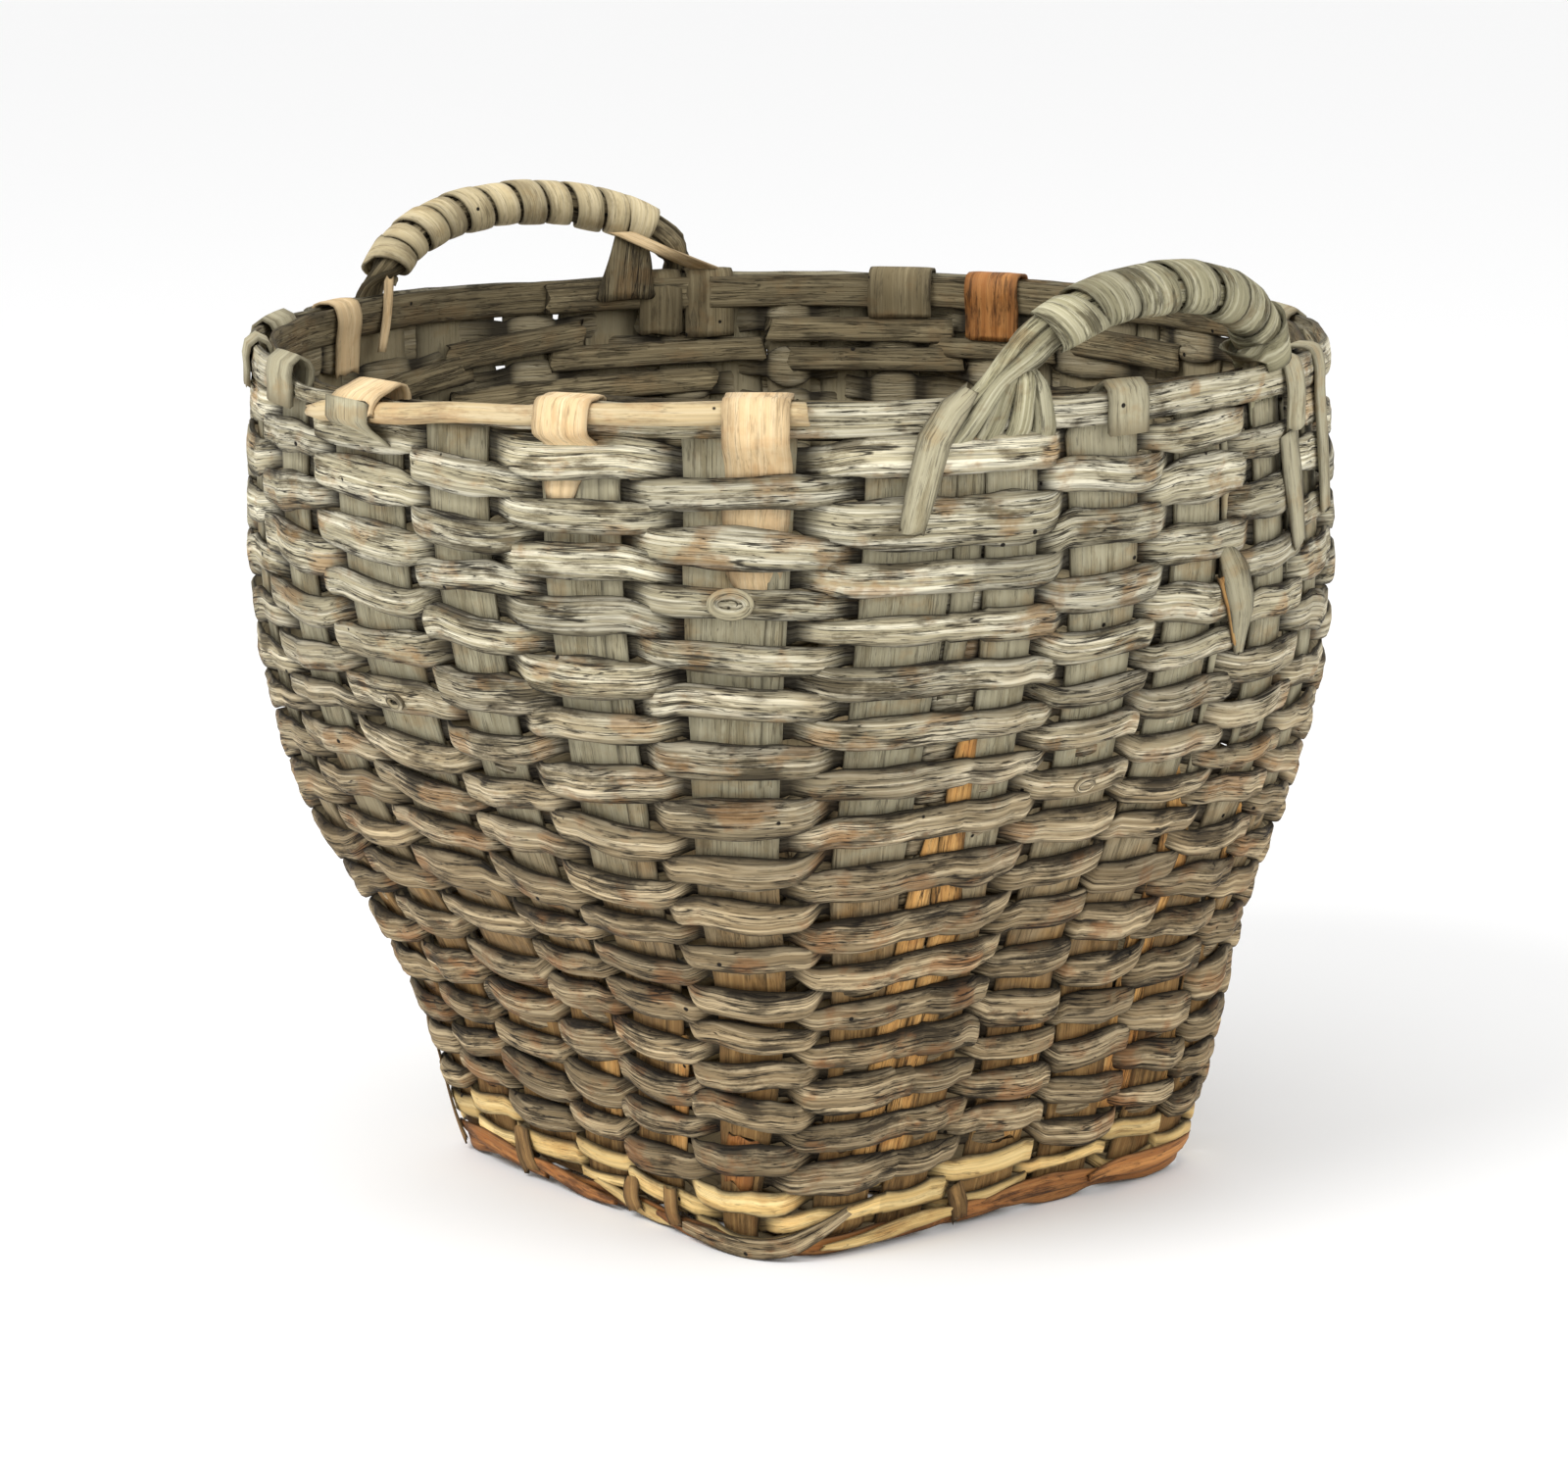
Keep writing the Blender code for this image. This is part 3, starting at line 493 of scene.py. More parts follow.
def wood(name, palette, low_palette=None, blend_heights=(0.15, 0.32), roughness=0.82, stain=1.0, crack=1.0,
         fibrous=1.0):
    """Weathered split wood. Fibres run along the strip; low_palette takes over towards the foot."""
    material = bpy.data.materials.new(name)
    material.use_nodes = True
    g = Graph(material)
    grain = g.attribute("grain", "Vector")
    place = g.add("ShaderNodeNewGeometry").outputs["Position"]
    fibre, streak, patch = (g.noise(grain, *values) for values in (FIBRE, STREAK, PATCH))
    blotch = g.noise(place, *BLOTCH)
    splits = [g.noise(grain, *values) for values in SPLITS]

    def share(source, factor):
        return g.math("MULTIPLY", source, factor)

    def colour(stops):
        light, middle, dark, accent = stops
        worn = share(g.step(streak, 0.42, 0.68), 0.35 + 0.42 * fibrous)
        base = g.mix(worn, middle, light)
        base = g.mix(share(g.step(patch, 0.49, 0.64), 0.80 * stain), base, dark)
        return g.mix(share(g.step(blotch, 0.51, 0.66), 0.62 * stain), base, accent)

    base = colour(PALETTES[palette])
    if low_palette:
        height = g.add("ShaderNodeSeparateXYZ")
        g.link(place, height.inputs[0])
        uneven = g.math("ADD", height.outputs[2], share(g.math("SUBTRACT", blotch, 0.5), 0.22))
        base = g.mix(g.step(uneven, *blend_heights), colour(PALETTES[low_palette]), base)
    tone = g.attribute("tone")
    scale = g.add("ShaderNodeVectorMath", operation="SCALE")
    g.link(base, scale.inputs[0])
    g.link(g.math("ADD", share(tone, 0.22), 1.0), scale.inputs["Scale"])
    base = g.mix(share(g.step(fibre, 0.53, 0.34), 0.48 * fibrous), scale.outputs[0], DIRT_AND_SHADE)
    lines = []
    for split, width in zip(splits, SPLIT_WIDTHS):
        distance = g.math("ABSOLUTE", g.math("SUBTRACT", split, 0.5))
        lines.append(g.step(distance, width, 0.25 * width))
    cracks = g.math("MULTIPLY", g.math("MAXIMUM", *lines), g.step(patch, 0.40, 0.52))
    base = g.mix(share(cracks, 0.9 * crack), base, DIRT_AND_SHADE)
    # Painted shade on the backs of the strips, which face into the basket.
    base = g.mix(share(g.attribute("inner"), 0.78), base, INSIDE_SHADE)
    # Painted shade where a row dives behind a stake, and in the holes of knots.
    painted_shade = g.math("MULTIPLY", g.attribute("painted_shade"), g.math("ADD", streak, 0.55), clamp=True)
    base = g.mix(share(painted_shade, 0.9), base, DIRT_AND_SHADE)
    # Painted shade along the edges of the strips, where they meet their neighbours.
    edge_shade = g.math("MULTIPLY", g.attribute("edge"), g.math("ADD", patch, 0.45), clamp=True)
    base = g.mix(share(edge_shade, 0.85), base, DIRT_AND_SHADE)
    holes = g.add("ShaderNodeTexVoronoi", feature="F1")
    g.link(place, holes.inputs["Vector"])
    holes.inputs["Scale"].default_value = WORM_HOLE_SCALE
    worm = g.step(holes.outputs["Distance"], 0.060, 0.040)
    g.link(g.mix(worm, base, DIRT_AND_SHADE), g.shader.inputs["Base Color"])

    relief = g.math("ADD", share(fibre, 0.5), share(streak, 0.9))
    relief = g.math("SUBTRACT", relief, share(cracks, 0.9 * crack))
    relief = g.math("SUBTRACT", relief, worm)
    bump = g.add("ShaderNodeBump")
    bump.inputs["Strength"].default_value = 0.35 + 0.5 * fibrous
    bump.inputs["Distance"].default_value = 0.0014
    g.link(relief, bump.inputs["Height"])
    g.link(bump.outputs[0], g.shader.inputs["Normal"])
    uneven_gloss = g.add("ShaderNodeMapRange")
    for index, source in ((0, fibre), (3, roughness - 0.10), (4, roughness + 0.10)):
        g.link(source, uneven_gloss.inputs[index])
    g.link(uneven_gloss.outputs[0], g.shader.inputs["Roughness"])
    g.shader.inputs["Specular IOR Level"].default_value = 0.22
    return material


WOODS = {  # the slots first, then looks that single pieces of a slot have
    "weathered_splint": dict(palette="stake_top", low_palette="stake_foot", blend_heights=(0.10, 0.24),
                             stain=0.7,
                             crack=0.5, fibrous=0.30),
    "silvered_weaver": dict(palette="silver", low_palette="earth"),
    "earthy_weaver": dict(palette="silver", low_palette="earth"),
    "fresh_willow": dict(palette="willow", stain=0.6, crack=0.5, roughness=0.62, fibrous=0.4),
    "brown_splint": dict(palette="brown", roughness=0.6, crack=0.7, fibrous=0.4),
    "dark_splint": dict(palette="dark"),
    "peeled_rod": dict(palette="rod", roughness=0.66, stain=0.6, crack=0.35, fibrous=0.25),
    "tan_splint": dict(palette="tan", roughness=0.7, stain=0.5, crack=0.35, fibrous=0.22),
    "grey_wrap": dict(palette="grey", crack=0.6, fibrous=0.40),
    "dark_fold": dict(palette="dark", stain=0.7, crack=0.4, fibrous=0.3),
    "pale_wrap": dict(palette="pale", stain=0.7, crack=0.4, fibrous=0.3),
    "inner_splint": dict(palette="insert", stain=0.8, crack=0.9, fibrous=0.6),
}
LOOKS = {name: wood(name, **values) for name, values in WOODS.items()}


# ---------------------------------------------------------------- strips
def smooth_noise(rng, places, cell, closed=False, columns=1):
    """Random values in -1..1 about one cell apart along the places, eased between."""
    length = max(places[-1], 1e-6)
    cells = max(2, round(length / cell))
    knots = rng.uniform(-1.0, 1.0, (cells + 1, columns))
    if closed:
        knots[-1] = knots[0]
    t = np.clip(places / length, 0.0, 1.0) * cells
    low = np.minimum(t.astype(int), cells - 1)
    share = ease(t - low)[:, None]
    return knots[low] * (1.0 - share) + knots[low + 1] * share


def strip(name, centre, across, normal, half, outer, inner, slot, node=None, closed=False, sides=12,
          boxy=0.35,
          fray=0.10, ridge=0.00012, ragged=0.0, tone=0.0, painted_shade=0.0, inside=0.0, edge_shade=0.5, look=None):
    """One closed strip of wood. half is its half-width, outer and inner how far its faces stand off centre.

    boxy squares its section, fray and ridge roughen its edges and faces, ragged its ends. tone makes it
    lighter. dusk darkens it with painted shade, inside paints shade on its back, which faces into the
    basket, and grime paints shade along its edges.
    """
    rng = seed(name)
    centre, across, normal = (np.asarray(a, float) for a in (centre, unit(across), unit(normal)))
    count = len(centre)
    half, outer, inner, tone, painted_shade, inside = (
        np.broadcast_to(np.asarray(a, float), (count,))[:, None] for a in (half, outer, inner, tone, painted_shade,
                                                                           inside)
    )
    places = np.concatenate([[0.0], np.cumsum(np.linalg.norm(np.diff(centre, axis=0), axis=1))])
    turn = 2 * math.pi * (np.arange(sides) + 0.5) / sides
    cosine, sine = np.cos(turn), np.sin(turn)
    x = np.sign(cosine) * np.abs(cosine) ** 0.8
    y = np.sign(sine) * np.abs(sine) ** boxy
    edges = [smooth_noise(rng, places, cell, closed, 2) for cell in (0.035, 0.009)]
    edge = fray * (edges[0] + 0.45 * edges[1])
    reach = half * x * (1.0 + np.where(x > 0, edge[:, :1], edge[:, 1:]))
    stand = np.where(y > 0, outer * y, inner * y) * (1.0 + 0.12 * smooth_noise(rng, places, 0.03, closed, 1))
    stand += ridge * smooth_noise(rng, places, 0.05, closed, sides) * np.minimum(1.0, half / 0.004)
    points = centre[:, None] + across[:, None] * reach[..., None] + normal[:, None] * stand[..., None]
    if ragged and not closed:
        for end, ahead in ((0, 1), (-1, -2)):
            direction = unit(centre[end] - centre[ahead])
            points[end] += direction * (ragged * rng.uniform(-1.0, 1.0, sides))[:, None]

    mesh = bpy.data.meshes.new(name)
    index = np.arange(count * sides).reshape(count, sides)
    here = index if closed else index[:-1]
    there = np.roll(index, -1, axis=0) if closed else index[1:]
    faces = np.stack([here, there, np.roll(there, -1, 1), np.roll(here, -1, 1)], -1).reshape(-1, 4).tolist()
    if not closed:
        faces += [index[0].tolist(), index[-1][::-1].tolist()]
    mesh.from_pydata(points.reshape(-1, 3).tolist(), [], faces)
    start = rng.uniform(0.0, 5.0)
    along = np.broadcast_to(places[:, None] + start, reach.shape)
    grain = np.stack([along, reach + np.where(y > 0, 0.0, 0.07), np.full(reach.shape, start * 3.0)], -1)
    mesh.attributes.new("grain", "FLOAT_VECTOR", "POINT").data.foreach_set("vector", grain.ravel())
    # Painted shade, strongest at the edges of the section, in the amount that grime gives.
    painted_edge_shade = edge_shade * np.clip((np.abs(x) - 0.45) / 0.55, 0.0, 1.0) ** 1.5
    for label, values in (("tone", tone), ("inner", (y < 0) * inside), ("painted_shade", painted_shade), ("edge", painted_edge_shade)):
        values = np.broadcast_to(values, reach.shape).ravel()
        mesh.attributes.new(label, "FLOAT", "POINT").data.foreach_set("value", values)
    mesh.shade_smooth()
    mesh.materials.append(LOOKS[look or slot])
    made = add_object(name, mesh)
    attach(made, "root")
    if node:
        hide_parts(node)


def resample(points, vectors, spacing):
    """A smooth run through the points, with a vector carried along by each, at about even spacing."""
    points, vectors = np.asarray(points, float), np.asarray(vectors, float)
    padded = np.vstack([2 * points[0] - points[1], points, 2 * points[-1] - points[-2]])
    run, carried = [], []
    last = len(points) - 2
    for i in range(last + 1):
        p0, p1, p2, p3 = padded[i : i + 4]
        length = np.linalg.norm(p2 - p1)
        before = np.linalg.norm(p1 - p0) or length
        after = np.linalg.norm(p3 - p2) or length
        leaving = unit((p2 - p1) / length * before + (p1 - p0) / before * length) * length
        arriving = unit((p3 - p2) / after * length + (p2 - p1) / length * after) * length
        cuts = max(1, round(length / spacing))
        for t in (np.arange(cuts) / cuts) if i < last else np.linspace(0, 1, cuts + 1):
            run.append(hermite(t, p1, leaving, p2, arriving))
            carried.append(vectors[i] * (1 - t) + vectors[i + 1] * t)
    return np.array(run), np.array(carried)


def ribbon(name, run, wide, outer, inner, slot, side=None, **looks):
    """Strip from a run and its half-width vectors. side finds the sign for the direction out of its face."""
    normal = unit(np.cross(unit(wide), unit(np.gradient(run, axis=0))))
    if side:
        normal = normal * side(run, normal)
    strip(name, run, wide, normal, np.linalg.norm(wide, axis=1), outer, inner, slot, **looks)


# ---------------------------------------------------------------- rows of weaving
def row_height(index):
    bend = (TOP_PITCH - BOTTOM_PITCH) * index**2 / (2 * (ROW_COUNT - 1))
    return TOP_ROW_HEIGHT - TOP_PITCH * index + bend


def ring_run(ring, heights):
    """Stations once round the wall: middle, up, outward, stake, place across it in -1..1, and share of the
    gap.

    The share is -1 on a stake and goes from 0 to 1 across the gap after it, whose second half belongs to the
    next stake.
    """
    seats = [(stake.centre(z), *stake.frame(z), stake.width(z) / 2) for stake, z in zip(ring, heights)]
    run = []
    for i, (centre, along, up, outward, half) in enumerate(seats):
        following = (i + 1) % len(ring)
        centre_b, along_b, up_b, outward_b, half_b = seats[following]
        start, end = centre + along * half, centre_b - along_b * half_b
        gap = np.linalg.norm(end - start)
        for x in np.linspace(-1.0, 1.0, STAKE_STEPS):
            run.append((centre + along * (half * x), up, outward, i, x, -1.0))
        for t in np.arange(1, GAP_STEPS + 1) / (GAP_STEPS + 1):
            run.append((hermite(t, start, along * gap, end, along_b * gap), up * (1 - t) + up_b * t,
                        outward * (1 - t) + outward_b * t, i if t <= 0.5 else following, 0.0, t))
    return [np.array(column) for column in zip(*run)]


def unevenness(angle, height):
    """How far the rows wander up and down round the wall."""
    return (0.0030 * np.sin(3.0 * angle + 34.0 * height + 1.0) + 0.0016 * np.sin(7.0 * angle - 70.0 * height)
            + 0.0009 * np.sin(13.0 * angle + 150.0 * height + 2.0)) * ease((RIM_HEIGHT - height) / 0.05)


def weave_row(name, ring, sides, height, pitch, slot, bulge, crest, flatness, added=False):
    """A row of weaving that passes over one stake and behind the next.

    It stays outside for most of a gap and dives behind the next stake there, so that its tip lies between the
    tips of the rows above and below. An added row stands for no solid.
    """
    rng = seed(name, 7)
    count = len(ring)
    angles = np.array([stake.angle(height) for stake in ring])
    heights = height + unevenness(angles, height) + rng.uniform(-ROW_WANDER, ROW_WANDER, count)
    for i in range(count):
        if sides[i] == sides[i - 1]:
            heights[i] = heights[i - 1] = (heights[i] + heights[i - 1]) / 2
    squeeze = (unevenness(angles, height + pitch) - unevenness(angles, height - pitch)) / (2 * pitch)
    pitch = pitch * (1.0 + np.clip(squeeze, -0.25, 0.30))
    middle, up, outward, stake, across_stake, gap_share = ring_run(ring, heights)
    in_gap = gap_share >= 0
    first = np.where(gap_share > 0.5, stake - 1, stake) % count
    second = (first + 1) % count
    over = np.array(sides) > 0
    along_gap = np.where(over[first], gap_share, 1.0 - gap_share)  # 0 at the stake that the row passes over
    crossing = in_gap & (over[first] != over[second])
    level = in_gap & ~crossing  # between the two stakes of a pair
    behind = ~in_gap & ~over[stake]
    passed = np.where(over[first], first, second)

    crest_half = pitch * crest * rng.uniform(*CREST_SPREAD, count)
    shoulder_half = pitch * (rng.uniform(*SHOULDER_SHARES, count) + 0.5 * (crest - CREST_SHARE))
    tip_half = pitch * rng.uniform(*TIP_SHARES, count)
    taper = ease((along_gap + 0.10) / 1.10) ** 0.9
    half = crest_half[stake] + (shoulder_half - crest_half)[stake] * across_stake**2
    half = np.where(crossing, shoulder_half[passed] * (1 - taper) + tip_half[passed] * taper, half)
    half = np.where(level, (shoulder_half[first] + shoulder_half[second]) / 2, half)
    half = np.where(behind, tip_half[stake] + (half - tip_half[stake]) * (1.0 - across_stake**2) ** 0.6, half)

    crest_bulge = bulge * rng.uniform(*BULGE_SPREAD, count)
    outer = np.where(in_gap, crest_bulge[passed] * (0.65 - 0.30 * taper * crossing),
                     crest_bulge[stake] * (1.0 - 0.35 * across_stake**2))
    inner = np.where(behind, 0.8 * outer, 0.0010)

    room = np.array([STAKE_THICKNESS / 2 + s.clearance() for s in ring])
    outside, inside = room + 0.0010, -(STAKE_THICKNESS / 2 + 0.0004 + 0.45 * bulge)
    depth = np.where(over, outside, -room - 0.0006 - 0.3 * bulge)
    dive = ease((along_gap - DIVE_FROM) / (1.0 - DIVE_FROM))
    offset = np.where(crossing, outside[passed] * (1 - dive) + inside * dive, depth[stake])
    offset = np.where(level, depth[first] * (1 - gap_share) + depth[second] * gap_share, offset)
    edge = np.where(behind, np.abs(across_stake) ** 4, 0.0)
    offset = offset * (1 - edge) + inside * edge
    offset = offset + np.where(~in_gap & over[stake], (1.0 - across_stake**2) * CREST_LIFT, 0.0)

    slant = rng.uniform(-ROW_SLANT, ROW_SLANT, count)
    for i in range(count):
        if over[i] == over[i - 1]:
            slant[i] = slant[i - 1] = 0.0
    owner = np.where(crossing, passed, stake)
    toward = np.where(in_gap, np.where(owner == first, 1.0 + gap_share, -2.0 + gap_share), across_stake)
    tilt = slant[owner] * np.sin(np.clip(toward / 2.0, -1.0, 1.0) * math.pi) * np.where(over[owner], 1.0, 0.3)
    centre = middle + unit(outward) * offset[:, None] + unit(up) * tilt[:, None]
    tone = rng.uniform(-1.0, 1.0, count)[owner] + (1.1 if flatness < 0.5 else 0.0)
    # Painted shade where the row dives behind the next stake, and near the edges of a stake that it lies
    # behind.
    painted_shade = np.maximum(np.where(crossing, ease((along_gap - 0.52) / 0.44), 0.0), edge)
    # inside gives the row's back, which faces into the basket, painted shade; grime paints shade along its
    # edges, more towards the foot.
    strip(name, centre, up, outward, half, outer, inner, slot, None if added else name, closed=True, sides=16,
          boxy=flatness, ridge=0.00034, tone=tone, painted_shade=painted_shade, inside=1.0,
          edge_shade=1.25 - 0.4 * height / RIM_HEIGHT)


def build_rows(ring, sides):
    """The rows of weaving from the rim down, each on the other side of every stake from the row above."""
    turned = (sides, [-side for side in sides])
    for index in range(ROW_COUNT):
        share = index / (ROW_COUNT - 1)
        pitch = TOP_PITCH - (TOP_PITCH - BOTTOM_PITCH) * share
        slot = "silvered_weaver" if index < LAST_SILVERED_ROW else "earthy_weaver"
        bulge = 0.0022 + 0.0026 * ease(share * 2.2) + 0.0006 * ease((share - 0.45) / 0.4)
        crest = CREST_SHARE + WIDE_ROWS.get(index + 1, 0.0) + LOW_ROWS_WIDER * ease((share - 0.40) / 0.4)
        flatness = 0.45 if index + 1 in WIDE_ROWS else 0.62 + 0.2 * share
        weave_row(f"weaver_row_{index + 1:02d}", ring, turned[index % 2], row_height(index), pitch, slot,
                  bulge,
                  crest, flatness)
    for index, (height, pitch, bulge, crest) in enumerate(FOOT_ROWS):
        weave_row(f"foot_weaver_{index + 1}", ring, turned[(ROW_COUNT + index) % 2], height, pitch,
                  "fresh_willow", bulge, crest, 0.6, added=height not in FOOT_ROW_HEIGHTS)


# ---------------------------------------------------------------- strips that lie on the wall
def laid_strip(name, path, slot, thickness=0.0014, closed=False, ragged=0.0025, edge_shade=0.8, inside=1.0,
               fray=0.08,
               **looks):
    """Strip that lies on the wall, through places of (angle, height, stand out of the wall, width)."""
    path = np.asarray(path, float)
    run, widths = resample(path[:, :3] * (RIM_RADIUS, 1.0, 1.0), path[:, 3:], 0.004)
    if closed:
        run, widths = run[:-1], widths[:-1]
    seats = [wall_seat(angle / RIM_RADIUS, height) for angle, height, _ in run]
    outward = np.array([seat[2] for seat in seats])
    centre = np.array([seat[0] for seat in seats]) + outward * run[:, 2:]
    if closed:
        ahead = np.roll(centre, -1, axis=0) - np.roll(centre, 1, axis=0)
    else:
        ahead = np.gradient(centre, axis=0)
    across = np.cross(outward, unit(ahead))
    strip(name, centre, across, outward, widths[:, 0] / 2, thickness / 2, thickness / 2, slot, closed=closed,
          ragged=ragged, edge_shade=edge_shade, inside=inside, fray=fray, **looks)


def wall_strip(name, stake, slot, stand, path, thickness, **looks):
    """Strip that lies beside a stake. All lengths are in millimetres.

    path runs down the stake, as (height, shift along the wall, width). stand holds for all its places, or is
    one value for each.
    """
    heights, shifts, widths = np.array(path, float)[::-1].T / 1000
    stands = np.broadcast_to(np.array(stand, float) / 1000, heights.shape)[::-1]
    count = max(6, round((heights[-1] - heights[0]) / 0.004))
    places = []
    for height in np.linspace(heights[-1], heights[0], count):
        shift, out, width = (np.interp(height, heights, values) for values in (shifts, stands, widths))
        places.append((stake.angle_beside(height, shift), height, out, width))
    laid_strip(name, places, slot, thickness / 1000, **looks)


def build_foot():
    """What closes the wall below the rows: a brown band and loose strips."""
    wander = np.random.default_rng(31).uniform(-1.0, 1.0, (60, 3))
    wander = np.vstack([wander, wander[:1]]) * (0.0012, 0.0004, 0.0016) + (0.0072, FOOT_STAND, 0.0070)
    band = np.column_stack([np.radians(6.0 * np.arange(61)), wander])
    laid_strip("foot_band", band, "brown_splint", 0.0018, True, node="foot_band", tone=-0.6, edge_shade=0.9,
               inside=0.3,
               fray=0.16)
    share = np.linspace(0.0, 1.0, 7)
    swell = np.sin(math.pi * np.clip(share, 0.06, 0.94)) ** 0.6
    for index, (start, end, *sizes, tone, slot) in enumerate(FOOT_LEAVES):
        low, high, width = (size / 1000 for size in sizes)
        height = low + (high - low) * share + 0.0016 * np.sin(5.0 * share + index)
        stand = FOOT_STAND + 0.0022 + 0.0012 * math.sin(2.0 * index)
        path = np.column_stack([np.radians(start + (end - start) * share), np.maximum(height, 0.62 * width),
                                np.full(len(share), stand), width * swell])
        laid_strip(f"foot_leaf_{index + 1}", path, slot, tone=tone, inside=0.0, fray=0.14)
    for index, (angle, top, width) in enumerate(FOOT_SPLINTS):
        path = [(math.radians(angle + lean), height, FOOT_STAND + out, width / 1000)
                for lean, height, out in ((0.0, top / 1000, 0.001), *FOOT_SPLINT_FALL)]
        laid_strip(f"foot_splint_{index + 1}", path, "weathered_splint", tone=-0.8, fray=0.14)
    path = [(math.radians(angle), height / 1000, FOOT_STAND + 0.0052, width / 1000)
            for angle, height, width in CORNER_STRIP]
    laid_strip("foot_corner_strip", path, "brown_splint", look="earthy_weaver", tone=0.2, inside=0.0)


def build_knots(stakes):
    """Knots in the rows: an oval lip of wood round a hole darkened with painted shade."""
    turn = np.linspace(0.0, 2 * math.pi, 25)[:-1, None]
    for index, (key, *sizes) in enumerate(KNOTS):
        shift, height, stand, size = (value / 1000 for value in sizes)
        seat, along, outward = wall_seat(stakes[key].angle_beside(height, shift), height)
        up = np.cross(outward, along)
        for part, reach, half, painted_shade in (("lip", size, 0.55 * size, 0.0),
                                        ("hole", 0.36 * size, 0.36 * size, 1.0)):
            centre = seat + along * (1.7 * reach * np.cos(turn)) + up * (reach * np.sin(turn))
            centre = centre + outward * (stand - 0.0006 * painted_shade)
            across = along * np.cos(turn) + up * np.sin(turn)
            strip(f"knot_{index + 1}_{part}", centre, across, np.broadcast_to(outward, centre.shape), half,
                  0.0016 - 0.0008 * painted_shade, 0.0014, "silvered_weaver", closed=True, sides=10, boxy=0.9,
                  fray=0.12,
                  ridge=0.0002, painted_shade=painted_shade, edge_shade=0.25)


def build_liners(stakes):
    """Strips that lie beside the stakes and on the far inner wall."""
    for name, key, slot, look, tone, thickness, stand, path in WALL_STRIPS:
        wall_strip(name, stakes[key], slot, stand, path, thickness, look=look, tone=tone)
    stake = stakes["y_c-"]
    before_rod = 1000 * (hoop_face(stake) + GAP + 2.2 * REPAIR_ROD_RADIUS + 0.0016)
    wall_strip("left_face", stake, "weathered_splint",
               (before_rod, before_rod, before_rod - 2, 6.4, ON_STAKE),
               ((393, 6, 30), (385, 6, 30), (381.5, 6, 31), (378, 6, 31), (372, 5, 30)), 1.4, tone=0.4,
               ragged=0.001)
    stake = stakes["x_a+"]
    before_hoop = 1000 * (hoop_face(stake) + GAP + 0.0035)
    wall_strip("handle_tail_strip", stake, "weathered_splint",
               before_hoop + np.array((2.0, 3.0, 2.0, 0.0, -1.0)),
               ((406, 21, 7), (397, 13, 14), (385, 6, 16), (365, 2, 15), (347, -1, 12)), 1.8, tone=0.3,
               node="handle_tail_strip")
    for index, (angle, width) in enumerate(DOUBLED_STAKES):
        path = [(math.radians(angle), height, 0.0026, width / 1000) for height in np.linspace(0.392, 0.10,
                                                                                              24)]
        laid_strip(f"doubled_stake_{index + 1}", path, "weathered_splint", 0.0016, inside=0.8,
                   tone=-0.6 + 0.4 * (index % 3))
    count = len(FLOAT_STANDS)
    for index, (start, end, low, high, width) in enumerate(INNER_FLOATS):
        path = np.column_stack([np.radians(np.linspace(start, end, count)),
                                np.linspace(low, high, count) / 1000,
                                np.array(FLOAT_STANDS) / -1000, np.full(count, width / 1000)])
        laid_strip(f"inner_float_{index + 1}", path, "dark_splint", 0.0016, inside=0.45, edge_shade=1.0,
                   tone=0.5 + 0.9 * (index % 3))


# ---------------------------------------------------------------- splints
def base_path(place, along_y, crossing, parity):
    """Zigzag of a splint across the foot, over and under the splints that cross it."""
    low = SPLINT_THICKNESS / 2
    points = []
    for index, row in enumerate(crossing):
        height = low if (index + parity) % 2 else low + SPLINT_THICKNESS + GAP
        for end in (-1, 1):
            run = row[1] + end * (row[2] / 2 + 0.0008)
            points.append((place, run, height) if along_y else (run, place, height))
    return np.array(points)


def splint_top(stake, key):
    """Points and half-width vectors of a stake's last stretch, straight or folded out over the rim."""
    if key not in FOLDED_ENDS:
        top = CUT_STAKE_TOP if key in CUT_ENDS | WORN_ENDS else HELD_STAKE_TOP
        along = stake.frame(top)[0]
        return [stake.centre(top)], [along * stake.width(top) / 2]
    crest = RIM_HEIGHT + GAP + SPLINT_THICKNESS / 2
    over = SPLINT_THICKNESS + HOOP_THICKNESS + stake.clearance() + GAP
    shift, share = FOLD_SHAPES.get(key, (0.0, 1.0))
    points = [stake.beside(height, out, shift)
              for out, height in ((0.0, crest - 0.001), (over / 2, crest + 0.0012), (over, crest - 0.002),
                                  (over, HOOP_BOTTOM + 0.004), (over - 0.0004, HOOP_BOTTOM - 0.004))]
    return points, [stake.frame(RIM_HEIGHT)[0] * (share * stake.width(RIM_HEIGHT) / 2)] * len(points)


